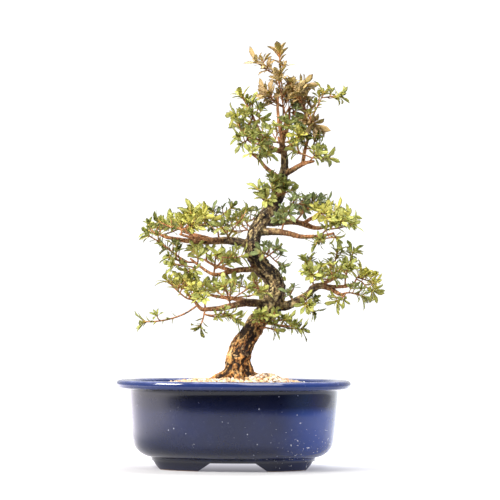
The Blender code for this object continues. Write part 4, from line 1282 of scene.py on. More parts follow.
def make_grains(material):
    """Loose grains of many sizes on the bed, in three pieces by size."""
    draw = random.Random(GRAIN_SEED)
    corners, faces = grain_shape()
    sheets = {"fine": Sheet("kind"), "middle": Sheet("kind"), "coarse": Sheet("kind")}
    edge = RIM_HALF_LENGTH - GRAIN_INSET
    depth = edge - DEPTH_STEP
    count = 0
    while count < GRAIN_COUNT:
        x = draw.uniform(-edge, edge)
        y = draw.uniform(-depth, depth)
        size = draw.uniform(*GRAIN_SIZES)
        if oval_share(x, y, edge) > 1.0 - size * 0.9 / edge:
            continue
        count += 1
        heap = HEAP_RISE * noise.noise(Vector((x * 0.045, y * 0.045, 2.0)))
        height = soil_height(x, y) - BED_DROP + heap + draw.uniform(*GRAIN_SINK) * size
        centre = Vector((x, y, height))
        if wood_clearance(centre, size * 0.3, None) < 0.0:
            continue
        kind = draw.random()
        name = "fine" if size < FINE_BELOW else "middle" if size < MIDDLE_BELOW else "coarse"
        sheet = sheets[name]
        stretch = Vector([draw.uniform(*limits) for limits in GRAIN_STRETCHES])
        turn = draw.uniform(0.0, 2.0 * math.pi)
        cosine = math.cos(turn)
        sine = math.sin(turn)
        seed = Vector([draw.uniform(0.0, GRAIN_NOISE_SPAN) for axis in range(3)])
        first = len(sheet.points)
        for corner in corners:
            swell = size * (1.0 + GRAIN_DENTS * noise.noise(corner * 1.3 + seed))
            bent = Vector((corner.x * stretch.x, corner.y * stretch.y, corner.z * stretch.z)) * swell
            turned = Vector((bent.x * cosine - bent.y * sine, bent.x * sine + bent.y * cosine, bent.z))
            sheet.add(centre + turned, kind)
        sheet.faces += [tuple(first + index for index in face) for face in faces]
    for name, sheet in sheets.items():
        made = sheet.mesh_object("grains_" + name, smooth=False)
        made.data.materials.append(material)
        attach(made, "root")


# Pot

def oval_points(half_length, sides):
    """Points x, y of the pot's oval, where only the length is given."""
    half_depth = half_length - DEPTH_STEP
    points = []
    for number in range(sides):
        angle = 2.0 * math.pi * (number + 0.5) / sides
        cosine = math.cos(angle)
        sine = math.sin(angle)
        points.append((
            math.copysign(abs(cosine) ** (2.0 / OVAL_POWER) * half_length, cosine),
            math.copysign(abs(sine) ** (2.0 / OVAL_POWER) * half_depth, sine)))
    return points


def even_oval_points(half_length, sides):
    """The same oval with its points spread evenly along it."""
    fine = oval_points(half_length, sides * 12)
    lengths = [0.0]
    for number in range(len(fine)):
        ax, ay = fine[number]
        bx, by = fine[(number + 1) % len(fine)]
        lengths.append(lengths[-1] + math.hypot(bx - ax, by - ay))
    total = lengths[-1]
    points = []
    index = 0
    for number in range(sides):
        target = total * number / sides
        while lengths[index + 1] < target:
            index += 1
        share = (target - lengths[index]) / (lengths[index + 1] - lengths[index])
        ax, ay = fine[index]
        bx, by = fine[(index + 1) % len(fine)]
        points.append((between(ax, bx, share), between(ay, by, share)))
    return points


def cut_corners(profile, rounds):
    """A line of points with its corners rounded, ends kept."""
    for turn in range(rounds):
        smoother = [profile[0]]
        for start, end in zip(profile, profile[1:]):
            for share in CORNER_SHARES:
                smoother.append(tuple(between(a, b, share) for a, b in zip(start, end)))
        smoother.append(profile[-1])
        profile = smoother
    return profile


def pot_skin():
    """Half length and height of the whole pot wall, from the underside over the lip to the floor."""
    body = RIM_HALF_LENGTH - 13.5
    under = LIP_UNDERSIDE
    outside = [
        (89.5, FOOT_HEIGHT), (89.5, 12.2), (91.6, 12.8), (97.5, 14.4), (103.5, 18.4), (107.6, 23.6),
        (109.8, 30.0), (111.6, 52.0), (body - 0.6, under - 8.0), (body, under - 1.4),
        (body + 1.2, under - 0.2), (body + 4.0, under), (RIM_HALF_LENGTH - 4.0, under),
        (RIM_HALF_LENGTH - 1.0, under + 1.4), (RIM_HALF_LENGTH, under + 4.0),
        (RIM_HALF_LENGTH, under + 5.8), (RIM_HALF_LENGTH - 0.8, RIM_TOP - 1.4),
        (RIM_HALF_LENGTH - 3.6, RIM_TOP), (RIM_HALF_LENGTH - 9.0, RIM_TOP - 0.2),
        (RIM_HALF_LENGTH - 15.0, RIM_TOP - 0.3), (RIM_HALF_LENGTH - 18.3, RIM_TOP - 2.4)]
    top = RIM_HALF_LENGTH - 19.0
    inside = [(81.0, FLOOR_TOP), (94.0, FLOOR_TOP + 1.5), (101.5, FLOOR_TOP + 7.5),
              (104.5, FLOOR_TOP + 16.0), (top - 0.5, SOIL_EDGE - 2.0)]
    return cut_corners(outside + inside[::-1], 2)


def pot_wave(x, y, z):
    """Slight unevenness of a hand-finished wall."""
    return POT_WAVE * noise.noise(Vector((x * 0.012, y * 0.012, z * 0.02)))


def ring_mesh(name, profile, sides, closed):
    """A closed body through ovals of a profile of half lengths and heights."""
    bm = bmesh.new()
    rows = []
    for half_length, height in profile:
        row = []
        for x, y in even_oval_points(half_length, sides):
            wave = pot_wave(x, y, height) if not closed else 0.0
            scale = 1.0 + (wave - POT_WAVE) / half_length
            row.append(bm.verts.new(Vector((x * scale, y * scale, height)) * MM))
        rows.append(row)
    pairs = list(zip(rows, rows[1:]))
    if closed:
        pairs.append((rows[-1], rows[0]))
    else:
        bm.faces.new(rows[0])
        bm.faces.new(rows[-1])
    for low, high in pairs:
        for face in band(low, high):
            bm.faces.new(face)
    bmesh.ops.recalc_face_normals(bm, faces=bm.faces)
    return object_of(bm, name)


def gap_wedge(axis, low_half, high_half):
    """A long bar, wider below, that parts two feet."""
    slope = (low_half - high_half) / FOOT_HEIGHT
    bm = bmesh.new()
    bmesh.ops.create_cube(bm, size=2.0)
    for vertex in bm.verts:
        height = FOOT_RING_TOP + 1.0 if vertex.co.z > 0.0 else -1.0
        half = low_half - slope * height
        across = vertex.co.x * half
        along = vertex.co.y * WEDGE_HALF_LENGTH
        place = (across, along, height) if axis == "Y" else (along, across, height)
        vertex.co = Vector(place) * MM
    bmesh.ops.recalc_face_normals(bm, faces=bm.faces)
    return object_of(bm, "wedge")


def drain_bar(x):
    """A round bar through the pot's floor."""
    bm = bmesh.new()
    bmesh.ops.create_cone(bm, cap_ends=True, segments=48, radius1=DRAIN_RADIUS * MM,
                          radius2=DRAIN_RADIUS * MM, depth=DRAIN_BAR_LENGTH * MM)
    bmesh.ops.translate(bm, verts=bm.verts, vec=(x * MM, 0.0, DRAIN_BAR_HEIGHT * MM))
    return object_of(bm, "drain")


def combine(target, operation, helpers):
    """Joins or cuts an object with helpers, keeps the result and removes the helpers."""
    for helper in helpers:
        modifier = target.modifiers.new(operation.title(), "BOOLEAN")
        modifier.operation = operation
        modifier.solver = "MANIFOLD"
        modifier.object = helper
    kept_result(target)
    for helper in helpers:
        bpy.data.objects.remove(helper)


def soften_edges(target):
    """Rounds the sharp edges of an object."""
    angle = math.radians(FOOT_EDGE_ANGLE)
    bm = bmesh.new()
    bm.from_mesh(target.data)
    bmesh.ops.remove_doubles(bm, verts=bm.verts, dist=0.01 * MM)
    sharp = [edge for edge in bm.edges if edge.is_manifold and edge.calc_face_angle() > angle]
    bmesh.ops.bevel(bm, geom=sharp, offset=FOOT_EDGE_WIDTH * MM, segments=3, profile=0.5,
                    affect="EDGES", clamp_overlap=True)
    bm.to_mesh(target.data)
    bm.free()


def make_pot_piece(material):
    """The glazed pot with its wide lip and four feet."""
    pot = ring_mesh("glazed_pot", pot_skin(), POT_SIDES, False)
    ring = [(FOOT_RING_FOOT[0], 0.0), (FOOT_RING[0], FOOT_RING_TOP),
            (FOOT_RING[1], FOOT_RING_TOP), (FOOT_RING_FOOT[1], 0.0)]
    feet = ring_mesh("feet", ring, POT_SIDES, True)
    combine(feet, "DIFFERENCE", [gap_wedge("Y", *GAP_BETWEEN_FEET["long side"]),
                                 gap_wedge("X", *GAP_BETWEEN_FEET["short side"])])
    soften_edges(feet)
    combine(pot, "UNION", [feet])
    combine(pot, "DIFFERENCE", [drain_bar(-DRAIN_OFFSET), drain_bar(DRAIN_OFFSET)])
    mesh = pot.data
    for vertex in mesh.vertices:
        vertex.co.x += POT_X * MM
    mesh.shade_smooth()
    mesh.set_sharp_from_angle(angle=math.radians(POT_SHARP_ANGLE))
    mesh.materials.clear()
    mesh.materials.append(material)
    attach(pot, "root")
    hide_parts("pot")


# Materials

class Paint:
    """A material and short ways to add nodes to it."""

    def __init__(self, name):
        self.material = bpy.data.materials.new(name)
        self.material.use_nodes = True
        self.tree = self.material.node_tree
        self.shader = self.tree.nodes["Principled BSDF"]
        self.output = self.tree.nodes["Material Output"]
        self.place = self.tree.nodes.new("ShaderNodeTexCoord").outputs["Object"]

    def join(self, value, socket):
        """Links a socket to a value's socket, or sets the value."""
        if isinstance(value, bpy.types.NodeSocket):
            self.tree.links.new(value, socket)
        elif socket.type == "RGBA" and len(value) == 3:
            socket.default_value = (*value, 1.0)
        else:
            socket.default_value = value

    def attribute(self, name):
        """A number kept on the mesh."""
        node = self.tree.nodes.new("ShaderNodeAttribute")
        node.attribute_name = name
        return node.outputs["Fac"]

    def axis(self, index):
        """One coordinate of the place, in metres."""
        node = self.tree.nodes.new("ShaderNodeSeparateXYZ")
        self.join(self.place, node.inputs[0])
        return node.outputs[index]

    def noise(self, scale, detail=3.0, roughness=0.55, stretch=None, distortion=0.0):
        """Soft noise, its scale in waves a metre."""
        node = self.tree.nodes.new("ShaderNodeTexNoise")
        node.inputs["Scale"].default_value = scale
        node.inputs["Detail"].default_value = detail
        node.inputs["Roughness"].default_value = roughness
        node.inputs["Distortion"].default_value = distortion
        source = self.place
        if stretch:
            mapping = self.tree.nodes.new("ShaderNodeMapping")
            mapping.inputs["Scale"].default_value = stretch
            self.join(source, mapping.inputs["Vector"])
            source = mapping.outputs["Vector"]
        self.join(source, node.inputs["Vector"])
        return node.outputs["Fac"]

    def cells(self, scale):
        """Distance to the nearest of a scatter of points, its scale in points a metre."""
        node = self.tree.nodes.new("ShaderNodeTexVoronoi")
        node.inputs["Scale"].default_value = scale
        self.join(self.place, node.inputs["Vector"])
        return node.outputs["Distance"]

    def sums(self, operation, first, second=0.5):
        """One step of arithmetic."""
        node = self.tree.nodes.new("ShaderNodeMath")
        node.operation = operation
        self.join(first, node.inputs[0])
        self.join(second, node.inputs[1])
        return node.outputs[0]

    def times(self, first, second):
        """The product of two values."""
        return self.sums("MULTIPLY", first, second)

    def spread(self, value, low, high, out_low=0.0, out_high=1.0):
        """Maps a range of a value to another range, with soft ends."""
        node = self.tree.nodes.new("ShaderNodeMapRange")
        node.interpolation_type = "SMOOTHSTEP"
        for socket, number in zip(node.inputs[:5], (value, low, high, out_low, out_high)):
            self.join(number, socket)
        return node.outputs[0]

    def ramp(self, value, stops):
        """Colours along a value."""
        node = self.tree.nodes.new("ShaderNodeValToRGB")
        elements = node.color_ramp.elements
        while len(elements) < len(stops):
            elements.new(0.5)
        for element, (place, colour) in zip(elements, stops):
            element.position = place
            element.color = (*colour, 1.0)
        self.join(value, node.inputs[0])
        return node.outputs["Color"]

    def mix(self, share, first, second):
        """Two colours mixed."""
        node = self.tree.nodes.new("ShaderNodeMix")
        node.data_type = "RGBA"
        self.join(share, node.inputs[0])
        self.join(first, node.inputs[6])
        self.join(second, node.inputs[7])
        return node.outputs[2]

    def bump(self, height, depth, strength=1.0):
        """Relief of a depth in metres."""
        node = self.tree.nodes.new("ShaderNodeBump")
        node.inputs["Strength"].default_value = strength
        node.inputs["Distance"].default_value = depth
        self.join(height, node.inputs["Height"])
        return node.outputs["Normal"]

    def finish(self, colour, roughness, normal=None, **values):
        """Feeds the shader and returns the material."""
        self.join(colour, self.shader.inputs["Base Color"])
        self.join(roughness, self.shader.inputs["Roughness"])
        if normal is not None:
            self.join(normal, self.shader.inputs["Normal"])
        for name, value in values.items():
            self.shader.inputs[name.replace("_", " ")].default_value = value
        return self.material


# Light, middle and deep colour of each tone of leaf, and the colour of its root
LEAF_COLOURS = {
    "green": ((0.66, 0.66, 0.17), (0.28, 0.31, 0.06), (0.05, 0.07, 0.018), (0.74, 0.46, 0.08)),
    "bright": ((0.74, 0.68, 0.15), (0.42, 0.41, 0.07), (0.1, 0.12, 0.025), (0.82, 0.54, 0.1)),
    "dark": ((0.36, 0.43, 0.17), (0.12, 0.16, 0.05), (0.03, 0.045, 0.016), (0.5, 0.33, 0.06)),
    "bronze": ((0.68, 0.5, 0.22), (0.4, 0.24, 0.1), (0.14, 0.075, 0.035), (0.62, 0.22, 0.07)),
}


def leaf_material(tone):
    """A leaf blade: pale rib, fine veins, warm root, mottling, a few dry edges and light through it."""
    paint = Paint("leaf_" + tone)
    along = paint.attribute("along")
    across = paint.sums("ABSOLUTE", paint.attribute("across"))
    tint = paint.attribute("tint")
    age = paint.attribute("age")
    light, middle, deep, warm = LEAF_COLOURS[tone]
    body = paint.ramp(tint, [(0.08, deep), (0.45, middle), (0.92, light)])
    mottling = paint.noise(420.0, 4.0, 0.6)
    body = paint.mix(paint.spread(mottling, 0.38, 0.68, 0.0, 0.42), body, light)
    freckles = paint.noise(1900.0, 2.0, 0.5)
    body = paint.mix(paint.spread(freckles, 0.55, 0.75, 0.0, 0.3), body, deep)
    yellowing = paint.times(paint.spread(age, 0.7, 1.0), paint.spread(along, 1.0, 0.3))
    body = paint.mix(paint.times(yellowing, 0.55), body, (0.55, 0.44, 0.07))
    root = paint.spread(along, 0.46, 0.04)
    body = paint.mix(paint.times(root, 0.95), body, warm)
    slant = paint.sums("SUBTRACT", along, paint.times(across, 0.2))
    veins = paint.sums("SINE", paint.times(slant, 62.0))
    veins = paint.spread(veins, 0.55, 1.0)
    rib = paint.spread(across, 0.13, 0.02)
    pale = paint.mix(0.5, light, (0.75, 0.72, 0.3))
    body = paint.mix(paint.times(veins, 0.2), body, pale)
    body = paint.mix(paint.times(rib, 0.5), body, pale)
    rim = paint.times(paint.spread(across, 0.78, 1.0), paint.spread(age, 0.35, 0.9))
    body = paint.mix(paint.times(rim, 0.5), body, (0.34, 0.15, 0.05))
    tip = paint.times(paint.spread(along, 0.86, 1.0), paint.spread(age, 0.5, 0.95))
    body = paint.mix(paint.times(tip, 0.7), body, (0.22, 0.1, 0.04))
    relief = paint.sums("SUBTRACT", paint.times(mottling, 0.5),
                        paint.sums("ADD", paint.times(rib, 0.6), paint.times(veins, 0.35)))
    normal = paint.bump(relief, 0.00022, 0.8)
    roughness = paint.spread(freckles, 0.3, 0.7, 0.36, 0.56)
    paint.finish(body, roughness, normal, Specular_IOR_Level=0.42, Coat_Weight=0.08, Coat_Roughness=0.3)
    glow = paint.tree.nodes.new("ShaderNodeBsdfTranslucent")
    paint.join(paint.mix(0.6, body, (0.52, 0.6, 0.08)), glow.inputs["Color"])
    paint.join(normal, glow.inputs["Normal"])
    both = paint.tree.nodes.new("ShaderNodeMixShader")
    both.inputs[0].default_value = 0.3
    paint.join(paint.shader.outputs[0], both.inputs[1])
    paint.join(glow.outputs[0], both.inputs[2])
    paint.join(both.outputs[0], paint.output.inputs["Surface"])
    return paint.material


def bark_material():
    """Bark: warm at the foot, brown above, orange-brown on twigs, with cracks and a little lichen. The dark
    in the cracks is partly the bark's colour and partly painted shade; the pale ridge crests are partly the
    bark's colour and partly a painted highlight.
    """
    paint = Paint("bark")
    thick = paint.attribute("thick")
    low = paint.attribute("low")
    height = paint.axis(2)
    patches = paint.noise(95.0, 4.0, 0.6, distortion=0.6)
    streaks = paint.noise(520.0, 4.0, 0.65, stretch=(1.0, 1.0, 0.28))
    grit = paint.noise(1500.0, 3.0, 0.6)
    trunk_wood = paint.ramp(patches, [(0.36, (0.018, 0.01, 0.007)), (0.46, (0.08, 0.046, 0.028)),
                                      (0.55, (0.3, 0.2, 0.08)), (0.66, (0.7, 0.54, 0.26))])
    foot_wood = paint.ramp(patches, [(0.34, (0.04, 0.013, 0.005)), (0.44, (0.3, 0.11, 0.026)),
                                     (0.55, (0.7, 0.34, 0.09)), (0.68, (0.92, 0.62, 0.3))])
    twig_wood = paint.ramp(streaks, [(0.3, (0.12, 0.04, 0.018)), (0.5, (0.44, 0.17, 0.06)),
                                     (0.72, (0.74, 0.4, 0.17))])
    colour = paint.mix(paint.spread(height, 0.128, 0.178), foot_wood, trunk_wood)
    lichen = paint.spread(paint.noise(150.0, 5.0, 0.7), 0.56, 0.68)
    lichen = paint.times(lichen, paint.spread(height, 0.15, 0.2, 0.0, 0.55))
    colour = paint.mix(lichen, colour, (0.2, 0.215, 0.125))
    colour = paint.mix(paint.spread(thick, 4.6, 1.9), colour, twig_wood)
    colour = paint.mix(paint.spread(streaks, 0.5, 0.34, 0.0, 0.75), colour, (0.03, 0.016, 0.009))
    flecks = paint.spread(paint.noise(380.0, 4.0, 0.65), 0.54, 0.66, 0.0, 0.7)
    colour = paint.mix(flecks, colour, paint.mix(0.5, colour, (0.86, 0.7, 0.34)))
    colour = paint.mix(paint.spread(grit, 0.56, 0.72, 0.0, 0.4), colour, (0.68, 0.5, 0.3))
    # The cracks are darkened partly as the bark's own colour and partly as painted shade in the hollows of
    # the relief.
    cracks = paint.spread(low, 0.2, -0.45)
    colour = paint.mix(paint.times(cracks, 0.95), colour, (0.01, 0.006, 0.004))
    # The ridge crests are made paler partly as the bark's own colour and partly as a painted highlight.
    crests = paint.spread(low, 0.4, 1.2, 0.0, 0.6)
    colour = paint.mix(crests, colour, (0.84, 0.65, 0.3))
    relief = paint.sums("ADD", paint.times(streaks, 0.7), paint.times(grit, 0.4))
    roughness = paint.spread(grit, 0.3, 0.7, 0.66, 0.92)
    return paint.finish(colour, roughness, paint.bump(relief, 0.0006, 0.9), Specular_IOR_Level=0.3)


def glaze_material():
    """Deep blue glaze: pooled and thin places, pale worn edges, pinholes, chips and bare clay at the feet,
    with painted shade in a band under the lip and on the feet, and a painted blue light at the right end.
    """
    paint = Paint("blue_glaze")
    height = paint.axis(2)
    clouds = paint.noise(14.0, 4.0, 0.55)
    speckle = paint.noise(900.0, 2.0, 0.5)
    blue = paint.ramp(clouds, [(0.3, (0.003, 0.0055, 0.024)), (0.5, (0.0045, 0.008, 0.035)),
                               (0.7, (0.008, 0.013, 0.055))])
    blue = paint.mix(paint.spread(speckle, 0.55, 0.75, 0.0, 0.35), blue, (0.014, 0.024, 0.09))
    # Painted light: the glaze turns a brighter blue towards the pot's right end, standing in for blue light
    # and its reflection there.
    painted_blue_light_right = paint.times(paint.spread(paint.axis(0), 0.02, 0.085), 0.9)
    blue = paint.mix(painted_blue_light_right, blue, (0.016, 0.05, 0.26))
    under = LIP_UNDERSIDE * MM
    top = RIM_TOP * MM
    # Painted shade: the glaze is darkened in a band from 60 mm up to the lip's underside, where the lip casts
    # its shadow.
    band = paint.times(paint.spread(height, 0.06, 0.07), paint.spread(height, under + 0.0015, under - 0.0005))
    blue = paint.mix(paint.times(band, 0.85), blue, (0.0008, 0.002, 0.014))
    lip = paint.spread(height, under - 0.0002, under + 0.0014)
    worn = paint.noise(60.0, 5.0, 0.7)
    blue = paint.mix(paint.times(lip, 0.7), blue, (0.014, 0.03, 0.125))
    edge = paint.times(paint.spread(height, top - 0.0027, top - 0.0009),
                       paint.spread(worn, 0.4, 0.62, 0.1, 0.6))
    blue = paint.mix(edge, blue, (0.16, 0.18, 0.34))
    # Painted shade: the glaze is darker on the feet, where they stand in shade under the body.
    foot = FOOT_HEIGHT * MM
    feet = paint.spread(height, foot + 0.0035, foot + 0.0005)
    blue = paint.mix(paint.times(feet, 0.65), blue, (0.008, 0.009, 0.024))
    clay = paint.mix(paint.noise(500.0, 3.0, 0.6), (0.13, 0.075, 0.045), (0.24, 0.15, 0.09))
    bare = paint.spread(height, 0.0009, 0.0003)
    pits = paint.spread(paint.cells(120.0), 0.095, 0.055)
    where = paint.spread(paint.noise(30.0, 2.0, 0.5), 0.46, 0.6)
    pits = paint.times(pits, where)
    right = paint.times(paint.spread(paint.axis(0), -0.005, 0.045), paint.spread(height, 0.062, 0.03))
    limit = paint.sums("SUBTRACT", 0.735, paint.times(right, 0.065))
    rough_spots = paint.sums("SUBTRACT", paint.noise(330.0, 3.0, 0.7), limit)
    streaks = paint.noise(190.0, 3.0, 0.7, stretch=(0.75, 0.75, 1.7), distortion=0.8)
    slashes = paint.sums("SUBTRACT", streaks, limit)
    chips = paint.sums("MAXIMUM", paint.spread(rough_spots, 0.0, 0.02), paint.spread(slashes, 0.0, 0.015))
    colour = paint.mix(paint.times(pits, 0.75), blue, (0.5, 0.52, 0.62))
    colour = paint.mix(chips, colour, (0.85, 0.85, 0.88))
    colour = paint.mix(bare, colour, clay)
    waves = paint.noise(32.0, 3.0, 0.5)
    relief = paint.sums("SUBTRACT", paint.sums("ADD", waves, paint.times(speckle, 0.05)),
                        paint.times(pits, 0.3))
    roughness = paint.sums("ADD", paint.spread(worn, 0.35, 0.7, 0.16, 0.3), paint.times(bare, 0.5))
    return paint.finish(colour, roughness, paint.bump(relief, 0.0006, 0.6),
                        Coat_Weight=0.85, Coat_Roughness=0.08, Coat_IOR=1.5, Specular_IOR_Level=0.1)


def grain_material():
    """Grains of pumice and clay, each in a tone of its own."""
    paint = Paint("grains")
    kind = paint.attribute("kind")
    fine = paint.noise(1300.0, 4.0, 0.65)
    broad = paint.noise(420.0, 3.0, 0.6)
    colour = paint.ramp(kind, [(0.0, (0.8, 0.62, 0.36)), (0.28, (0.66, 0.42, 0.18)),
                               (0.45, (0.84, 0.78, 0.66)), (0.64, (0.58, 0.27, 0.09)),
                               (0.8, (0.88, 0.85, 0.78)), (0.93, (0.2, 0.11, 0.06))])
    colour = paint.mix(paint.spread(broad, 0.45, 0.7, 0.0, 0.35), colour, (0.92, 0.84, 0.68))
    colour = paint.mix(paint.spread(fine, 0.52, 0.34, 0.0, 0.55), colour, (0.26, 0.13, 0.05))
    return paint.finish(colour, paint.spread(fine, 0.3, 0.7, 0.8, 0.98), paint.bump(fine, 0.0005),
                        Specular_IOR_Level=0.25)


def bed_material():
    """Packed finer soil under the grains."""
    paint = Paint("soil_bed")
    fine = paint.noise(900.0, 5.0, 0.7)
    broad = paint.noise(160.0, 3.0, 0.6)
    colour = paint.ramp(fine, [(0.3, (0.12, 0.065, 0.03)), (0.5, (0.38, 0.24, 0.12)),
                               (0.72, (0.7, 0.52, 0.32))])
    colour = paint.mix(paint.spread(broad, 0.4, 0.65, 0.0, 0.5), colour, (0.3, 0.17, 0.08))
    return paint.finish(colour, 0.96, paint.bump(fine, 0.0012))


def plastic_material():
    """Moulded dark plastic of the drainage mesh, dusty in places."""
    paint = Paint("mesh_plastic")
    dust = paint.noise(260.0, 4.0, 0.6)
    scuffs = paint.noise(1400.0, 2.0, 0.5, stretch=(1.0, 0.2, 1.0))
    colour = paint.ramp(dust, [(0.35, (0.012, 0.013, 0.014)), (0.6, (0.035, 0.034, 0.032)),
                               (0.8, (0.14, 0.1, 0.07))])
    colour = paint.mix(paint.spread(scuffs, 0.6, 0.75, 0.0, 0.25), colour, (0.1, 0.1, 0.1))
    return paint.finish(colour, paint.spread(dust, 0.3, 0.7, 0.42, 0.7), paint.bump(scuffs, 0.0002))


def floor_material():
    """Grey studio floor that gives off light behind and beside the plant."""
    paint = Paint("studio_floor")
    tone = paint.noise(3.0, 2.0, 0.5)
    colour = paint.mix(tone, (0.38, 0.38, 0.38), (0.4, 0.4, 0.4))
    behind = paint.spread(paint.axis(1), -0.1, 0.2, 0.12, 1.15)
    beside = paint.spread(paint.axis(1), -0.42, -0.22)
    left = paint.times(paint.spread(paint.axis(0), -0.15, -0.45, 0.0, 2.1), beside)
    right = paint.times(paint.spread(paint.axis(0), 0.15, 0.38, 0.0, 0.8), beside)
    glow = paint.sums("MAXIMUM", behind, paint.sums("MAXIMUM", left, right))
    tint = paint.mix(paint.spread(paint.axis(0), -0.4, 0.5), (0.94, 0.88, 1.0), (0.88, 0.93, 1.0))
    paint.join(glow, paint.shader.inputs["Emission Strength"])
    paint.join(tint, paint.shader.inputs["Emission Color"])
    return paint.finish(colour, 0.9, Specular_IOR_Level=0.1)


# Studio

FLOOR_FRONT = -0.42
FLOOR_BACK = 14.0
FLOOR_BENDS = (0.4, 1.6)
FLOOR_STEPS = 24
SEEN_WHITE = 1.15
ROOM_STRENGTH = 0.8
# The room's colour from front to back, by a share of the way
ROOM_COLOURS = [(0.1, (0.07, 0.075, 0.1)), (0.62, (1.0, 1.0, 1.0))]
# Glows to the left and right: where each starts, where it is full, and its colour
SIDE_GLOWS = [(-0.5, -0.85, (0.66, 0.62, 0.68)), (0.55, 0.9, (0.45, 0.62, 1.0))]
CAMERA_PLACE = Vector((-0.001, -2.0, 0.146))
CAMERA_AIM = Vector((-0.001, 0.0, 0.2369))
CAMERA_LENS = 132.1
SENSOR_WIDTH = 36.0
CAMERA_ROLL = 0.3
# Lamps: name, place, aim, size, power and colour
LAMPS = [
    ("key_left", (-1.2, -0.9, 1.12), (0.0, 0.0, 0.25), (0.75, 0.5), 58.0, (1.0, 0.97, 0.93)),
    ("front_top", (0.5, -1.5, 1.5), (0.0, 0.0, 0.2), (0.9, 0.9), 32.0, (1.0, 1.0, 1.0)),
    ("top", (0.1, 0.1, 1.4), (0.0, 0.0, 0.2), (0.7, 0.7), 20.0, (1.0, 1.0, 1.0)),
]


def make_floor():
    """A floor that ends in a long bow in front of the pot, so that the pot reflects the room there."""
    bm = bmesh.new()
    edge = []
    for step in range(-FLOOR_STEPS, FLOOR_STEPS + 1):
        bend = FLOOR_BENDS[0 if step < 0 else 1]
        x = math.copysign((step / FLOOR_STEPS) ** 2, step) * math.sqrt((FLOOR_BACK - FLOOR_FRONT) / bend)
        edge.append(bm.verts.new((x, FLOOR_FRONT + bend * x * x, 0.0)))
    bm.faces.new(edge)
    floor = object_of(bm, "floor")
    floor.data.materials.append(floor_material())


def make_lamp(name, place, aim, size, power, colour):
    """A soft box of light."""
    data = bpy.data.lights.new(name, "AREA")
    data.shape = "RECTANGLE"
    data.size = size[0]
    data.size_y = size[1]
    data.energy = power
    data.color = colour
    lamp = placed(name, data)
    lamp.location = place
    lamp.rotation_euler = (Vector(aim) - Vector(place)).to_track_quat("-Z", "Y").to_euler()


def make_world():
    """White for the camera. For the light and reflections it is a room that is dark in front."""
    world = bpy.data.worlds.new("studio")
    world.use_nodes = True
    bpy.context.scene.world = world
    tree = world.node_tree
    tree.nodes.clear()
    new = tree.nodes.new
    link = tree.links.new
    seen = new("ShaderNodeBackground")
    seen.inputs["Color"].default_value = (1.0, 1.0, 1.0, 1.0)
    seen.inputs["Strength"].default_value = SEEN_WHITE
    place = new("ShaderNodeTexCoord")
    split = new("ShaderNodeSeparateXYZ")
    link(place.outputs["Generated"], split.inputs[0])
    shift = new("ShaderNodeMapRange")
    shift.inputs["From Min"].default_value = -1.0
    shift.inputs["From Max"].default_value = 1.0
    link(split.outputs["Y"], shift.inputs["Value"])
    ramp = new("ShaderNodeValToRGB")
    for element, (position, colour) in zip(ramp.color_ramp.elements, ROOM_COLOURS):
        element.position = position
        element.color = (*colour, 1.0)
    link(shift.outputs[0], ramp.inputs[0])
    colour = ramp.outputs["Color"]
    for start, full, glow in SIDE_GLOWS:
        colour = side_glow(tree, split.outputs["X"], start, full, colour, glow)
    room = new("ShaderNodeBackground")
    room.inputs["Strength"].default_value = ROOM_STRENGTH
    link(colour, room.inputs["Color"])
    both = new("ShaderNodeMixShader")
    link(new("ShaderNodeLightPath").outputs["Is Camera Ray"], both.inputs[0])
    link(room.outputs[0], both.inputs[1])
    link(seen.outputs[0], both.inputs[2])
    link(both.outputs[0], new("ShaderNodeOutputWorld").inputs["Surface"])


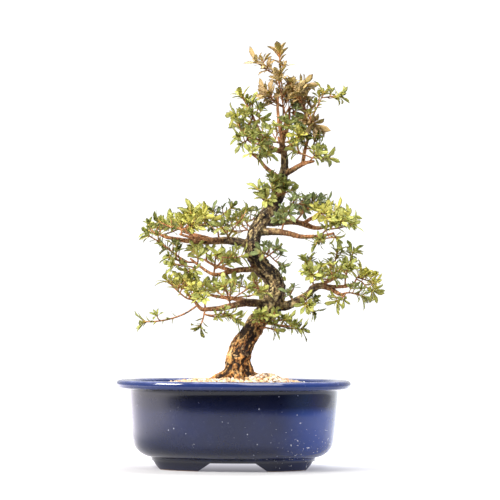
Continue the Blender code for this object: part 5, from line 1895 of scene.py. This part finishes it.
def side_glow(tree, side, start, full, below, colour):
    """A soft glow of the room towards one side, laid over what is below."""
    reach = tree.nodes.new("ShaderNodeMapRange")
    reach.inputs["From Min"].default_value = start
    reach.inputs["From Max"].default_value = full
    both = tree.nodes.new("ShaderNodeMix")
    both.data_type = "RGBA"
    both.blend_type = "LIGHTEN"
    both.inputs[7].default_value = (*colour, 1.0)
    tree.links.new(side, reach.inputs["Value"])
    tree.links.new(reach.outputs[0], both.inputs[0])
    tree.links.new(below, both.inputs[6])
    return both.outputs[2]


def make_camera():
    """The photo's view: a little above the pot's lip, two metres off, with a long lens."""
    data = bpy.data.cameras.new("camera")
    data.lens = CAMERA_LENS
    data.sensor_width = SENSOR_WIDTH
    camera = placed("camera", data)
    camera.location = CAMERA_PLACE
    turn = (CAMERA_AIM - CAMERA_PLACE).to_track_quat("-Z", "Y").to_matrix()
    roll = Matrix.Rotation(math.radians(CAMERA_ROLL), 3, "Z")
    camera.rotation_euler = (turn @ roll).to_euler()
    bpy.context.scene.camera = camera


def make_studio():
    """Floor, lamps, world and camera."""
    make_floor()
    make_world()
    for lamp in LAMPS:
        make_lamp(*lamp)
    make_camera()
    bpy.context.scene.view_settings.view_transform = "Standard"


def make_plant():
    """All pieces of the plant and its pot."""
    bark = bark_material()
    leaves = {tone: leaf_material(tone) for tone in LEAF_COLOURS}
    shoots = grow_plant()
    corners = [point for shoot in shoots for leaf in shoot.leaves if leaf for point in leaf.outline(0.0)]
    room = box_of(corners)
    for spray, (branch, tone, lift, tips) in enumerate(SPRAYS):
        own = [shoot for shoot in shoots if shoot.spray == spray]
        side_paths = make_leaves(spray, own, room, leaves[tone])
        make_twigs(spray, own, side_paths, bark)
    make_wood_piece(bark)
    make_bed(bed_material())
    make_grains(grain_material())
    make_pot_piece(glaze_material())


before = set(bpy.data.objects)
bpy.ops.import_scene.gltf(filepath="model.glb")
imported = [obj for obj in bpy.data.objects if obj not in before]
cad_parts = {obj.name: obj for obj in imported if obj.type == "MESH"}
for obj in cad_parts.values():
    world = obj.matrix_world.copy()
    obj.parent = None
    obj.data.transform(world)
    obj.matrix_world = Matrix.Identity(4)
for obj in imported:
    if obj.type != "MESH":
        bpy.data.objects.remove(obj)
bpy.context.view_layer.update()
make_plant()
plastic = plastic_material()
for node_name in ("drainage_mesh_left", "drainage_mesh_right"):
    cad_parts[node_name].data.materials.clear()
    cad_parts[node_name].data.materials.append(plastic)
make_studio()
